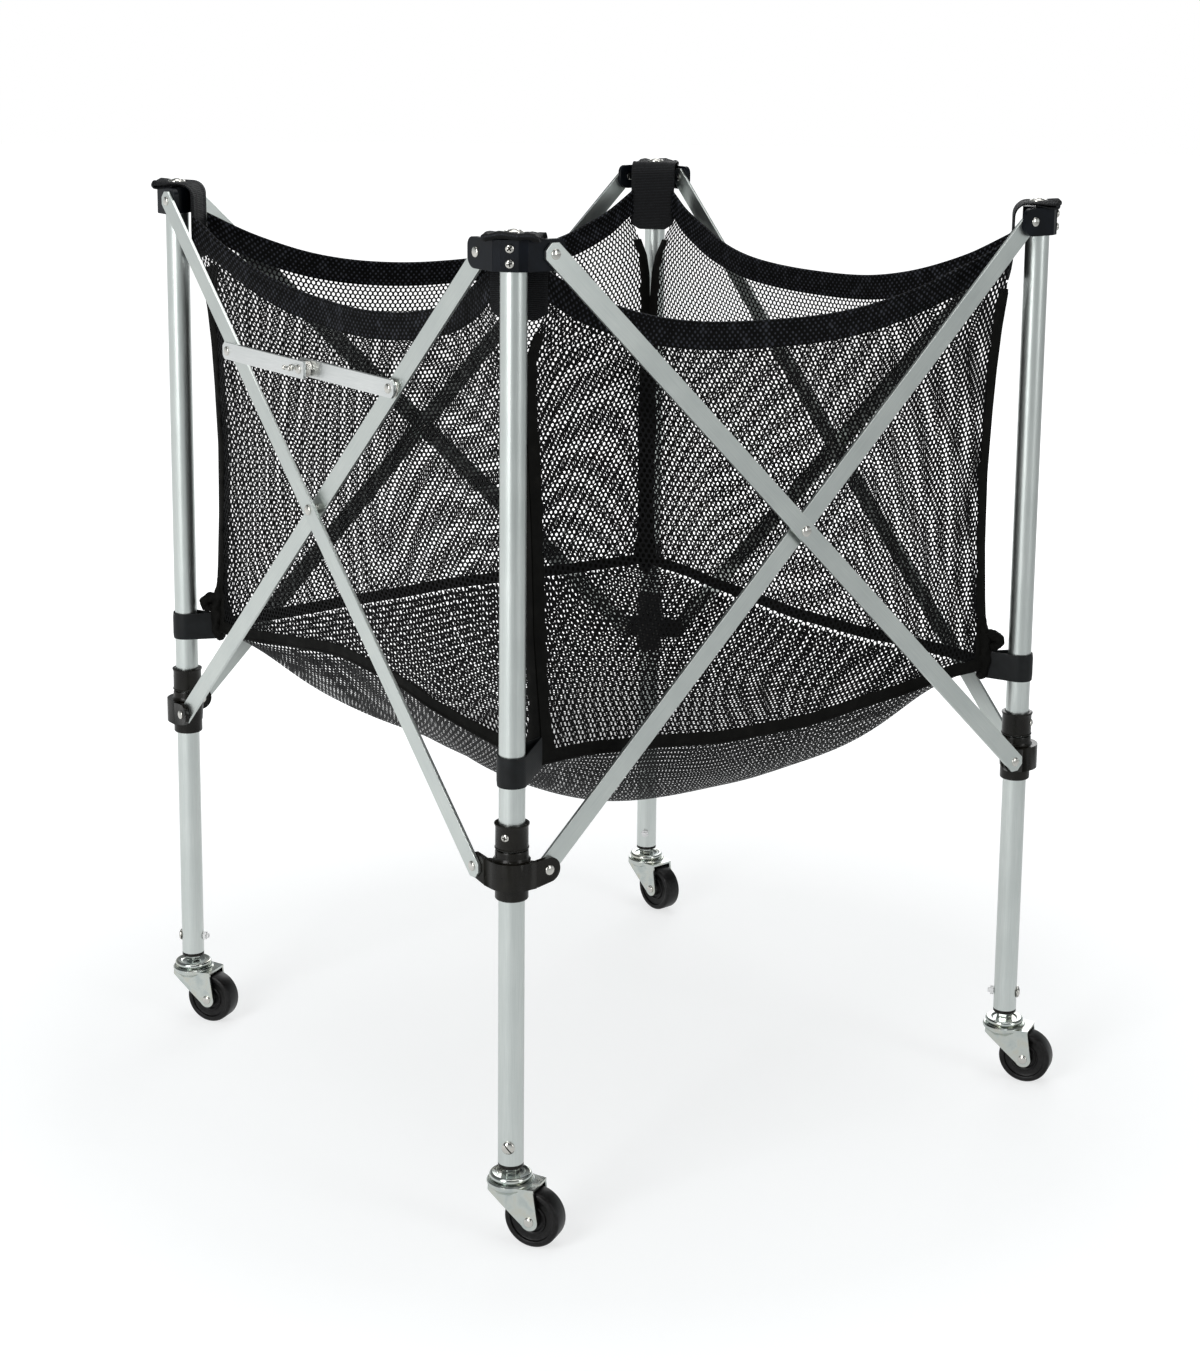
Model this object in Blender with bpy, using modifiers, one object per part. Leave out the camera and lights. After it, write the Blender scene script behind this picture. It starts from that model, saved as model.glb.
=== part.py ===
"""A folding ball cart: four aluminium posts on swivel casters, scissor braces on
every side, and a net bag hung between the posts. Metres, +Z up.

The cart has fourfold symmetry. Post i and the face that runs from it to post
i + 1 are modelled once in the corner frame: the post's axis is the Z axis, the
face runs along +X, and -Y points out of it. A quarter turn gives the next one.
"""
import math

import bmesh
import bpy
from mathutils import Matrix, Vector

POSTS = ("front", "right", "back", "left")
FACES = ("front_right", "back_right", "back_left", "front_left")

# Clearances
FIT = 0.0003
SQRT2 = math.sqrt(2)

# Posts
POST_PITCH = 0.582
TUBE_RADIUS = 0.011
TUBE_WALL = 0.0015
TUBE_BOTTOM_Z = 0.070

# Pivots of the scissor braces
TOP_PIVOT_Z = 0.840
LOW_PIVOT_Z = 0.330
EAR_REACH = 0.024
EAR_FACE = 0.0205
EAR_THICK = 0.0046
BORE_RADIUS = TUBE_RADIUS + FIT

# Top brackets
BRACKET_BELOW = 0.0133
BRACKET_ABOVE = 0.012
BRACKET_SOCKET_RADIUS = 0.0142
BRACKET_CAP = 0.003
BRACKET_FACET = 0.017
BRACKET_FACET_HALF = 0.0057
BRACKET_SCREW_RADIUS = 0.0037
BRACKET_SCREW_STEP = 0.012
BRACKET_SCREW_HEIGHT = 0.0022

# Stop rings, fixed to the posts above the sliding collars
STOP_BOTTOM_Z = 0.3485
STOP_HEIGHT = 0.022
STOP_RADIUS = 0.014
STOP_LIP = 0.0007
STOP_LIP_HEIGHT = 0.0025
STOP_SCREW_RADIUS = 0.0032
STOP_SCREW_HEIGHT = 0.0018
STOP_SCREW_TURN = math.radians(-148)

# Sliding collars
COLLAR_BELOW = 0.025
COLLAR_ABOVE = 0.0175
COLLAR_NECK_RADIUS = 0.014
COLLAR_BODY_BELOW = 0.0135
COLLAR_BODY_ABOVE = 0.0095
COLLAR_EAR_RADIUS = 0.0105
COLLAR_FACET = 0.0190
COLLAR_FACET_HALF = 0.0050

# Braces: flat bars with their rivets
BAR_WIDTH = 0.018
BAR_THICK = 0.003
BAR_END_CLIP = 0.005
RIVET_RADIUS = 0.0022
RIVET_HEAD_RADIUS = 0.0044
RIVET_HEAD_HEIGHT = 0.002
RIVET_TAIL_RADIUS = 0.004
RIVET_TAIL_THICK = 0.0012
CROSSING_HEAD_RADIUS = 0.0050
SPACER_RADIUS = 0.005

# Strut that holds the front left face open
STRUT_SHARE = 0.5
LINK_WIDTH = 0.016
LINK_THICK = 0.0028
LINK_END = 0.0085
LINK_STANDOFF = 0.0052
LINK_LAP = 0.019
WASHER_RADIUS = 0.0082
WASHER_STACK = 0.0023
SPRING_RADIUS = 0.0056
SPRING_WIRE_RADIUS = 0.0009
SPRING_TURNS = 3
LOCK_OFFSET = 0.0125
LOCK_PIN_RADIUS = 0.0016
LOCK_STANDOFF = 0.0045
LOCK_BAR_RADIUS = 0.0014
LOCK_BAR_HALF = 0.0046
LOCK_KNOB_RADIUS = 0.0023

# Casters
CASTER_HEADING = {"front": -59, "right": -59, "back": -85, "left": -59}
WHEEL_RADIUS = 0.025
WHEEL_WIDTH = 0.019
WHEEL_SHOULDER = 0.0035
WHEEL_FACE_RADIUS = 0.0185
WHEEL_RECESS = 0.0025
HUB_RADIUS = 0.0075
HUB_WIDTH = 0.0228
TRAIL = 0.023
AXLE_RADIUS = 0.003
AXLE_HEAD_RADIUS = 0.0042
AXLE_HEAD_HEIGHT = 0.0018
FORK_THICK = 0.0022
FORK_CROWN_GAP = 0.002
FORK_CROWN_RADIUS = 0.020
FORK_TAIL = 0.027
FORK_LEG_BACK = 0.016
FORK_LEG_ROUND = 0.0078
KINGPIN_RADIUS = 0.004
KINGPIN_HEAD_RADIUS = 0.0068
KINGPIN_HEAD_THICK = 0.0022
CUP_RADIUS = 0.018
CUP_GROOVE_RADIUS = 0.0155
CUP_GROOVE_HEIGHT = 0.0018
CUP_HEIGHT = 0.0050
CUP_DISH_RADIUS = 0.0125
CUP_DISH_DEPTH = 0.0018
NECK_RADIUS = 0.0072
PLUG_FLANGE = 0.003
PLUG_LENGTH = 0.030
CROSS_BOLT_Z = 0.087
CROSS_BOLT_RADIUS = 0.0023
CROSS_BOLT_HEAD_RADIUS = 0.0055
CROSS_BOLT_HEAD_HEIGHT = 0.0028
NUT_RADIUS = 0.0044
NUT_THICK = 0.0032
BOLT_END = 0.0025

# Net bag: walls between the posts, a hem on top, a bulging floor
NET_THICK = 0.0016
BAND_THICK = 0.004
HEM_HEIGHT = 0.024
TAPE_HEIGHT = 0.011
BAND_STEP = 0.0015
HEM_MIDDLE_Z = 0.765
HEM_RISE = 0.060
HEM_POWER = 2.4
CORNER_INSET = 0.025
HEM_INSET_OUT = 0.0045
HEM_INSET_ALONG = 0.0387
GATHER_HEIGHT = 0.075
WALL_BULGE = 0.013
BULGE_AT_EDGES = 0.35
SEAM_CORNER_Z = 0.412
SEAM_RISE = {"front_right": -0.020, "back_right": -0.010, "back_left": 0.004, "front_left": 0.028}
FLOOR_DROP = 0.102
FLOOR_POWER = 4
# The open net is drawn as a coarse grid: bars and openings take turns
WALL_OPENINGS = 8
WALL_OPENING_ROWS = 5
FLOOR_OPENINGS = 8
BAR_SHARE = 0.28

# Straps that tie the bag to the posts
TOP_STRAP_WIDTH = 0.045
TOP_STRAP_THICK = 0.0024
TOP_STRAP_OUT = 0.0195
TOP_STRAP_INSET = 0.0286
TOP_STRAP_END_Z = 0.798
TOP_STRAP_BEND = 0.013
EYELET_RADIUS = 0.0082
EYELET_THICK = 0.0012
EYELET_SHANK_RADIUS = 0.0025
EYELET_HEAD_RADIUS = 0.0045
EYELET_HEAD_HEIGHT = 0.0028
LOW_STRAP_Z = 0.402
LOW_STRAP_HEIGHT = 0.026
LOW_STRAP_THICK = 0.0016
LOW_TAB_THICK = 0.0032

# Facets of the round shapes
SEGMENTS_TUBE = 16
SEGMENTS_SMALL = 10
SEGMENTS_WHEEL = 20

# Places that follow from the sizes above
EAR_BACK = EAR_FACE - EAR_THICK
OUTER_BAR_BACK = EAR_FACE + FIT
OUTER_BAR_FACE = OUTER_BAR_BACK + BAR_THICK
INNER_BAR_FACE = EAR_BACK - FIT
INNER_BAR_BACK = INNER_BAR_FACE - BAR_THICK
BRACKET_TOP_Z = TOP_PIVOT_Z + BRACKET_ABOVE
CROSSING_Z = (TOP_PIVOT_Z + LOW_PIVOT_Z) / 2
HALF_SPAN = POST_PITCH / 2 - EAR_REACH
HALF_RISE = (TOP_PIVOT_Z - LOW_PIVOT_Z) / 2
HALF_BRACE = math.hypot(HALF_SPAN, HALF_RISE)
BRACE_LEAN = math.atan2(HALF_SPAN, HALF_RISE)
STRUT_HALF = STRUT_SHARE * HALF_SPAN
STRUT_Z = CROSSING_Z + STRUT_SHARE * HALF_RISE
LEFT_LINK_BACK = OUTER_BAR_FACE + LINK_STANDOFF
RIGHT_LINK_BACK = INNER_BAR_FACE + FIT + WASHER_STACK
FORK_CROWN_Z = 2 * WHEEL_RADIUS + FORK_CROWN_GAP
CUP_BOTTOM_Z = FORK_CROWN_Z + FORK_THICK + FIT
LEG_INSIDE = HUB_WIDTH / 2 + FIT
HOLE_SLACK = FIT


def clear_scene():
    for thing in list(bpy.data.objects):
        bpy.data.objects.remove(thing, do_unlink=True)


def new_collection(name):
    group = bpy.data.collections.new(name)
    bpy.context.scene.collection.children.link(group)
    return group


def new_material(name, colour, roughness, metallic=0.0):
    material = bpy.data.materials.new(name)
    material.use_nodes = True
    shader = material.node_tree.nodes["Principled BSDF"]
    shader.inputs["Base Color"].default_value = (*colour, 1.0)
    shader.inputs["Roughness"].default_value = roughness
    shader.inputs["Metallic"].default_value = metallic
    material.diffuse_color = (*colour, 1.0)
    return material


clear_scene()
CART = new_collection("ball_cart")
SHAPES = new_collection("construction_shapes")

ALUMINIUM = new_material("anodised_aluminium", (0.56, 0.62, 0.60), 0.35, 1.0)
STEEL = new_material("zinc_plated_steel", (0.60, 0.65, 0.64), 0.22, 1.0)
BLACK_PLASTIC = new_material("black_moulded_plastic", (0.020, 0.022, 0.025), 0.42)
WHEEL_PLASTIC = new_material("black_wheel_plastic", (0.012, 0.012, 0.014), 0.35)
NET = new_material("black_polyester_net", (0.010, 0.010, 0.011), 0.85)
WEBBING = new_material("black_webbing", (0.012, 0.012, 0.014), 0.75)


# Shapes

def shape_object(name, data):
    """A helper object, kept out of the finished cart."""
    made = bpy.data.objects.new(name, data)
    SHAPES.objects.link(made)
    made.hide_render = True
    made.display_type = "WIRE"
    return made


def evaluated_mesh(source):
    """The object's mesh with its modifiers and its placing applied, and the object removed."""
    graph = bpy.context.evaluated_depsgraph_get()
    graph.update()
    mesh = bpy.data.meshes.new_from_object(source.evaluated_get(graph))
    mesh.transform(source.matrix_world)
    work = bmesh.new()
    work.from_mesh(mesh)
    bmesh.ops.remove_doubles(work, verts=work.verts, dist=1e-6)
    work.to_mesh(mesh)
    work.free()
    bpy.data.objects.remove(source, do_unlink=True)
    return mesh


def along(axis):
    """The turn that takes +Z to the axis."""
    return Vector((0, 0, 1)).rotation_difference(Vector(axis)).to_matrix().to_4x4()


def rod(radius, start, end, segments=SEGMENTS_SMALL, end_radius=None):
    """A capped cylinder, or a cone, from one point to another."""
    start, end = Vector(start), Vector(end)
    work = bmesh.new()
    bmesh.ops.create_cone(
        work, cap_ends=True, segments=segments, radius1=radius,
        radius2=radius if end_radius is None else end_radius, depth=(end - start).length,
        matrix=Matrix.Translation((start + end) / 2) @ along((end - start).normalized()))
    mesh = bpy.data.meshes.new("rod")
    work.to_mesh(mesh)
    work.free()
    return shape_object("rod", mesh)


def turned(profile, base, axis, segments=SEGMENTS_SMALL):
    """A solid of revolution. The profile's (radius, height) points run down its outer side."""
    mesh = bpy.data.meshes.new("profile")
    edges = [(i, i + 1) for i in range(len(profile) - 1)]
    if profile[0][0] > 0 or profile[-1][0] > 0:
        edges.append((len(profile) - 1, 0))
    mesh.from_pydata([(radius, 0, height) for radius, height in profile], edges, [])
    made = shape_object("turned", mesh)
    screw = made.modifiers.new("turn", "SCREW")
    screw.steps = screw.render_steps = segments
    screw.use_merge_vertices = True
    screw.merge_threshold = 1e-5
    made.matrix_world = Matrix.Translation(base) @ along(axis)
    return shape_object("turned", evaluated_mesh(made))


def dome(radius, height, base, axis, seat=0.0, segments=SEGMENTS_SMALL):
    """A low rounded head on a face. seat lets its foot reach into what carries it."""
    steps = 3
    arc = [(radius * math.sin(math.pi / 2 * i / steps), height * math.cos(math.pi / 2 * i / steps))
           for i in range(steps + 1)]
    arc[0] = (0.0, height)
    return turned(arc + [(radius, -seat), (0.0, -seat)], base, axis, segments)


def head_profile(radius, height):
    """Profile of the domed head of a rivet or a bolt, from its top out to its rim."""
    return [(0.0, height), (radius * 0.6, height * 0.82), (radius * 0.9, height * 0.42), (radius, 0.0)]


def outline_plate(points, thick, place, holes=()):
    """A flat outline given thickness. Its XY plane is the plate's own middle plane."""
    curve = bpy.data.curves.new("outline", "CURVE")
    curve.dimensions = "2D"
    curve.fill_mode = "BOTH"
    curve.extrude = thick / 2
    loops = [points]
    for x, y, radius in holes:
        loops.append([(x + radius * math.cos(2 * math.pi * i / SEGMENTS_SMALL),
                       y + radius * math.sin(2 * math.pi * i / SEGMENTS_SMALL))
                      for i in range(SEGMENTS_SMALL)])
    for loop in loops:
        spline = curve.splines.new("POLY")
        spline.points.add(len(loop) - 1)
        for point, (x, y) in zip(spline.points, loop):
            point.co = (x, y, 0, 1)
        spline.use_cyclic_u = True
    made = shape_object("outline", curve)
    made.matrix_world = place
    mesh = evaluated_mesh(made)
    work = bmesh.new()
    work.from_mesh(mesh)
    bmesh.ops.recalc_face_normals(work, faces=work.faces)
    # The fill's triangles go back to whole flat faces, which the Booleans cut cleanly.
    bmesh.ops.dissolve_limit(work, angle_limit=1e-3, verts=[], edges=work.edges)
    work.to_mesh(mesh)
    work.free()
    return shape_object("plate", mesh)


def combine(base, add=(), cut=()):
    """One mesh: the base joined to some shapes, then cut by others."""
    for operation, others in (("UNION", add), ("DIFFERENCE", cut)):
        for other in others:
            step = base.modifiers.new(operation.lower(), "BOOLEAN")
            step.operation = operation
            step.solver = "EXACT"
            step.object = other
    mesh = evaluated_mesh(base)
    for other in (*add, *cut):
        bpy.data.objects.remove(other, do_unlink=True)
    return mesh


def arc_points(centre, radius, start, end, count):
    """Points along an arc, in degrees, for an outline."""
    return [(centre[0] + radius * math.cos(math.radians(start + (end - start) * i / count)),
             centre[1] + radius * math.sin(math.radians(start + (end - start) * i / count)))
            for i in range(count + 1)]


def in_face(depth):
    """Outline plane parallel to a face: its X runs along the face, its Y up, at a depth outside the posts."""
    return Matrix.Translation((0, -depth, 0)) @ Matrix.Rotation(math.radians(90), 4, "X")


def rounded_bar(start, end, width, beyond, end_beyond=None):
    """Outline of a flat bar past two pivots, with clipped ends. The points are (along, up)."""
    start, end = Vector(start), Vector(end)
    ahead = (end - start).normalized()
    side = Vector((-ahead.y, ahead.x))
    half = width / 2
    far = beyond if end_beyond is None else end_beyond
    clip = BAR_END_CLIP * width / BAR_WIDTH
    corners = []
    for pivot, way, reach in ((start, -ahead, beyond), (end, ahead, far)):
        turn = -side if way == ahead else side
        corners += [pivot + way * (reach - clip) + turn * half,
                    pivot + way * reach + turn * (half - clip),
                    pivot + way * reach - turn * (half - clip),
                    pivot + way * (reach - clip) - turn * half]
    return [tuple(corner) for corner in corners]


# Placing

def corner_frame(index):
    quarter = Matrix.Rotation(index * math.pi / 2, 4, "Z")
    half = POST_PITCH / 2
    return quarter @ Matrix.Translation((-half, -half, 0))


ROOT = bpy.data.objects.new("ball_cart_frame", None)
CART.objects.link(ROOT)


def pivot(name, place, parent):
    """An empty on a joint's axis, which carries the pieces of one moving group."""
    made = bpy.data.objects.new(name, None)
    made.empty_display_size = 0.02
    CART.objects.link(made)
    made.matrix_world = place
    bpy.context.view_layer.update()
    made.parent = parent
    made.matrix_parent_inverse = parent.matrix_world.inverted()
    return made


def add_piece(name, mesh, material, place, parent, smooth_angle=35):
    """One named sub-part of the cart."""
    made = bpy.data.objects.new(name, mesh)
    CART.objects.link(made)
    made.matrix_world = place
    bpy.context.view_layer.update()
    made.parent = parent
    made.matrix_parent_inverse = parent.matrix_world.inverted()
    if not mesh.materials:
        mesh.materials.append(material)
        mesh.shade_smooth()
        mesh.set_sharp_from_angle(angle=math.radians(smooth_angle))
    return made


# Posts and what is fixed on them

def post_mesh():
    """A plain tube with a cross hole for the caster's bolt."""
    top = BRACKET_TOP_Z - BRACKET_CAP - FIT
    inner = TUBE_RADIUS - TUBE_WALL
    tube = turned([(TUBE_RADIUS, top), (TUBE_RADIUS, TUBE_BOTTOM_Z), (inner, TUBE_BOTTOM_Z), (inner, top)],
                  (0, 0, 0), (0, 0, 1), SEGMENTS_TUBE)
    reach = 2 * TUBE_RADIUS / SQRT2
    hole = rod(CROSS_BOLT_RADIUS + HOLE_SLACK, (-reach, -reach, CROSS_BOLT_Z), (reach, reach, CROSS_BOLT_Z))
    return combine(tube, cut=[hole])


def ear(depth_face, reach, pivot_z, radius, along_face):
    """A lug with a round end that carries a pivot, in the face that starts here or in the one before."""
    round_end = arc_points((reach, pivot_z), radius, -90, 90, 8)
    points = [(0, pivot_z - radius)] + round_end + [(0, pivot_z + radius)]
    plate = outline_plate(points, EAR_THICK, in_face(depth_face - EAR_THICK / 2))
    if not along_face:
        # The mirror across the corner's diagonal swaps X and Y.
        swap = Matrix(((0, 1, 0, 0), (1, 0, 0, 0), (0, 0, 1, 0), (0, 0, 0, 1)))
        plate.data.transform(swap)
        plate.data.flip_normals()
    return plate


def corner_core(facet, facet_half, low_z, high_z):
    """The moulded body between the two ears, with a facet on the corner's outward diagonal."""
    near = (facet * SQRT2 - facet_half * SQRT2) / 2
    far = (facet * SQRT2 + facet_half * SQRT2) / 2
    back = TUBE_RADIUS
    points = [(back, -EAR_FACE), (-FIT, -EAR_FACE), (-near, -far), (-far, -near), (-EAR_FACE, -FIT),
              (-EAR_FACE, back), (-EAR_BACK, back), (back, -EAR_BACK)]
    middle = Matrix.Translation((0, 0, (low_z + high_z) / 2))
    return outline_plate(points, high_z - low_z, middle)


def ear_hole(pivot_z, along_face):
    inside, outside = -(EAR_BACK - BAR_THICK / 2), -(EAR_FACE + BAR_THICK / 2)
    if along_face:
        return rod(RIVET_RADIUS + HOLE_SLACK, (EAR_REACH, inside, pivot_z), (EAR_REACH, outside, pivot_z))
    return rod(RIVET_RADIUS + HOLE_SLACK, (inside, EAR_REACH, pivot_z), (outside, EAR_REACH, pivot_z))


def bracket_mesh():
    """The top bracket: a blind socket over the tube, two ears, two screws and the strap's eyelet screw."""
    low = TOP_PIVOT_Z - BRACKET_BELOW
    top = BRACKET_TOP_Z
    radius = (top - low) / 2
    middle = (top + low) / 2
    outward = Vector((-1, -1, 0)).normalized()
    add = [ear(EAR_FACE, EAR_REACH, middle, radius, True), ear(EAR_FACE, EAR_REACH, middle, radius, False),
           rod(BRACKET_SOCKET_RADIUS, (0, 0, low + FIT), (0, 0, top - FIT), SEGMENTS_TUBE)]
    for side in (-1, 1):
        base = outward * BRACKET_FACET + Vector((0, 0, middle + side * BRACKET_SCREW_STEP / 2))
        add.append(dome(BRACKET_SCREW_RADIUS, BRACKET_SCREW_HEIGHT, base, outward, seat=TUBE_WALL))
    strap_top = top + FIT + TOP_STRAP_THICK + FIT
    add.append(turned([(0.0, strap_top + EYELET_THICK + EYELET_HEAD_HEIGHT),
                       (EYELET_HEAD_RADIUS * 0.7, strap_top + EYELET_THICK + EYELET_HEAD_HEIGHT * 0.7),
                       (EYELET_HEAD_RADIUS, strap_top + EYELET_THICK),
                       (EYELET_RADIUS, strap_top + EYELET_THICK), (EYELET_RADIUS, strap_top),
                       (EYELET_SHANK_RADIUS, strap_top), (EYELET_SHANK_RADIUS, top - BRACKET_CAP / 2),
                       (0.0, top - BRACKET_CAP / 2)], (0, 0, 0), (0, 0, 1)))
    bore = rod(BORE_RADIUS, (0, 0, low - BRACKET_CAP), (0, 0, top - BRACKET_CAP), SEGMENTS_TUBE)
    cuts = [bore, ear_hole(TOP_PIVOT_Z, True), ear_hole(TOP_PIVOT_Z, False)]
    return combine(corner_core(BRACKET_FACET, BRACKET_FACET_HALF, low, top), add, cuts)


def stop_ring_mesh():
    """A ring clamped on the post by one screw. The collar meets it when the cart is open."""
    low, top = STOP_BOTTOM_Z, STOP_BOTTOM_Z + STOP_HEIGHT
    lip = STOP_RADIUS + STOP_LIP
    ring = turned([(lip, top), (lip, top - STOP_LIP_HEIGHT / 2), (STOP_RADIUS, top - STOP_LIP_HEIGHT),
                   (STOP_RADIUS, low), (BORE_RADIUS, low), (BORE_RADIUS, top)],
                  (0, 0, 0), (0, 0, 1), SEGMENTS_TUBE)
    outward = Vector((math.cos(STOP_SCREW_TURN), math.sin(STOP_SCREW_TURN), 0))
    base = outward * STOP_RADIUS + Vector((0, 0, (low + top) / 2))
    return combine(ring, [dome(STOP_SCREW_RADIUS, STOP_SCREW_HEIGHT, base, outward, seat=TUBE_WALL)])


def collar_mesh():
    """The sliding collar: a neck around the tube and two winged ears."""
    low, top = LOW_PIVOT_Z - COLLAR_BODY_BELOW, LOW_PIVOT_Z + COLLAR_BODY_ABOVE
    neck = rod(COLLAR_NECK_RADIUS, (0, 0, LOW_PIVOT_Z - COLLAR_BELOW), (0, 0, LOW_PIVOT_Z + COLLAR_ABOVE),
               SEGMENTS_TUBE)
    add = [corner_core(COLLAR_FACET, COLLAR_FACET_HALF, low, top),
           ear(EAR_FACE, EAR_REACH, LOW_PIVOT_Z, COLLAR_EAR_RADIUS, True),
           ear(EAR_FACE, EAR_REACH, LOW_PIVOT_Z, COLLAR_EAR_RADIUS, False)]
    bore = rod(BORE_RADIUS, (0, 0, LOW_PIVOT_Z - 2 * COLLAR_BELOW), (0, 0, LOW_PIVOT_Z + 2 * COLLAR_ABOVE),
               SEGMENTS_TUBE)
    return combine(neck, add, [bore, ear_hole(LOW_PIVOT_Z, True), ear_hole(LOW_PIVOT_Z, False)])


# Braces

def rivet(place_x, place_z, head_face, tail_face, head_radius=RIVET_HEAD_RADIUS):
    """A rivet through a face's depth: a domed head outside, a flat tail inside, as one turned shape."""
    length = head_face - tail_face
    return turned([*head_profile(head_radius, RIVET_HEAD_HEIGHT), (RIVET_RADIUS, 0.0), (RIVET_RADIUS, -length),
                   (RIVET_TAIL_RADIUS, -length), (RIVET_TAIL_RADIUS, -length - RIVET_TAIL_THICK),
                   (0.0, -length - RIVET_TAIL_THICK)], (place_x, -head_face, place_z), (0, -1, 0))


def outer_brace_mesh(strut_hole):
    """The bar in front of the ears, from this post's top to the next post's collar, with its three rivets."""
    top, low = (EAR_REACH, TOP_PIVOT_Z), (POST_PITCH - EAR_REACH, LOW_PIVOT_Z)
    middle = (POST_PITCH / 2, CROSSING_Z)
    holes = []
    if strut_hole:
        holes.append((POST_PITCH / 2 - STRUT_HALF, STRUT_Z, RIVET_RADIUS + HOLE_SLACK))
    bar = outline_plate(rounded_bar(top, low, BAR_WIDTH, BAR_WIDTH / 2), BAR_THICK,
                        in_face(OUTER_BAR_BACK + BAR_THICK / 2), holes)
    face = OUTER_BAR_FACE - FIT
    add = [rivet(*top, face, EAR_BACK - FIT), rivet(*low, face, EAR_BACK - FIT),
           rivet(*middle, face, INNER_BAR_BACK - FIT, CROSSING_HEAD_RADIUS),
           rod(SPACER_RADIUS, (middle[0], -(OUTER_BAR_BACK + FIT), middle[1]),
               (middle[0], -(INNER_BAR_FACE + FIT), middle[1]))]
    return combine(bar, add)


def inner_brace_mesh():
    """The bar behind the ears, from the next post's top to this post's collar, with its two rivets."""
    top, low = (POST_PITCH - EAR_REACH, TOP_PIVOT_Z), (EAR_REACH, LOW_PIVOT_Z)
    holes = [(POST_PITCH / 2, CROSSING_Z, RIVET_RADIUS + HOLE_SLACK)]
    bar = outline_plate(rounded_bar(low, top, BAR_WIDTH, BAR_WIDTH / 2), BAR_THICK,
                        in_face(INNER_BAR_BACK + BAR_THICK / 2), holes)
    tail = INNER_BAR_BACK + FIT
    return combine(bar, [rivet(*top, EAR_FACE + FIT, tail), rivet(*low, EAR_FACE + FIT, tail)])


# Strut with its knee, spring and lock pin

def left_link_mesh():
    """The outer link: pinned to the outer brace through a spacer, with the knee's pin at its other end."""
    start, knee = (POST_PITCH / 2 - STRUT_HALF, STRUT_Z), (POST_PITCH / 2, STRUT_Z)
    lock = (POST_PITCH / 2 - LOCK_OFFSET, STRUT_Z, LOCK_PIN_RADIUS + HOLE_SLACK)
    bar = outline_plate(rounded_bar(start, knee, LINK_WIDTH, LINK_END), LINK_THICK,
                        in_face(LEFT_LINK_BACK + LINK_THICK / 2), [lock])
    face = LEFT_LINK_BACK + LINK_THICK - FIT
    spacer = rod(SPACER_RADIUS, (start[0], -(LEFT_LINK_BACK + FIT), start[1]),
                 (start[0], -(OUTER_BAR_FACE + FIT), start[1]))
    rivets = [rivet(*start, face, OUTER_BAR_BACK - FIT), rivet(*knee, face, RIGHT_LINK_BACK - FIT)]
    return combine(bar, [*rivets, spacer])


def right_link_mesh():
    """The inner link: it laps behind the knee and ends in a washer stack on the inner brace, an open pivot."""
    knee, end = (POST_PITCH / 2, STRUT_Z), (POST_PITCH / 2 + STRUT_HALF, STRUT_Z)
    holes = [(*knee, RIVET_RADIUS + HOLE_SLACK), (knee[0] - LOCK_OFFSET, knee[1], LOCK_PIN_RADIUS + HOLE_SLACK)]
    bar = outline_plate(rounded_bar(knee, end, LINK_WIDTH, LINK_LAP, LINK_END), LINK_THICK,
                        in_face(RIGHT_LINK_BACK + LINK_THICK / 2), holes)
    face = RIGHT_LINK_BACK + LINK_THICK - FIT
    head = dome(RIVET_HEAD_RADIUS, RIVET_HEAD_HEIGHT, (end[0], -face, end[1]), (0, -1, 0))
    stack = rod(WASHER_RADIUS, (end[0], -(RIGHT_LINK_BACK + FIT), end[1]),
                (end[0], -(INNER_BAR_FACE + FIT), end[1]), 16)
    return combine(bar, [head, stack])


def knee_spring_mesh():
    """A short coil spring round the knee's pin, between the two links."""
    low = RIGHT_LINK_BACK + LINK_THICK + FIT + SPRING_WIRE_RADIUS
    high = LEFT_LINK_BACK - FIT - SPRING_WIRE_RADIUS
    per_turn = 10
    count = SPRING_TURNS * per_turn
    curve = bpy.data.curves.new("coil", "CURVE")
    curve.dimensions = "3D"
    curve.bevel_depth = SPRING_WIRE_RADIUS
    curve.bevel_resolution = 1
    curve.use_fill_caps = True
    spline = curve.splines.new("POLY")
    spline.points.add(count)
    for i, point in enumerate(spline.points):
        angle = 2 * math.pi * i / per_turn
        depth = low + (high - low) * i / count
        point.co = (POST_PITCH / 2 + SPRING_RADIUS * math.cos(angle), -depth,
                    STRUT_Z + SPRING_RADIUS * math.sin(angle), 1)
    return evaluated_mesh(shape_object("coil", curve))


def lock_pin_mesh():
    """The pin with its small T handle, which is pulled outward to free the knee."""
    x = POST_PITCH / 2 - LOCK_OFFSET
    handle = LEFT_LINK_BACK + LINK_THICK + LOCK_STANDOFF
    tip = RIGHT_LINK_BACK + LINK_THICK + FIT
    pin = rod(LOCK_PIN_RADIUS, (x, -tip, STRUT_Z), (x, -handle, STRUT_Z), 10)
    ends = [x - LOCK_BAR_HALF, x + LOCK_BAR_HALF]
    add = [rod(LOCK_BAR_RADIUS, (ends[0], -handle, STRUT_Z), (ends[1], -handle, STRUT_Z), 8)]
    for end, way in zip(ends, (-1, 1)):
        knob = LOCK_KNOB_RADIUS
        ball = [(0.0, knob), (knob * 0.8, knob * 0.6), (knob, 0.0), (knob * 0.8, -knob * 0.6), (0.0, -knob)]
        add.append(turned(ball, (end, -handle, STRUT_Z), (way, 0, 0), 8))
    return combine(pin, add)


# Casters, modelled with the trail along +X

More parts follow.
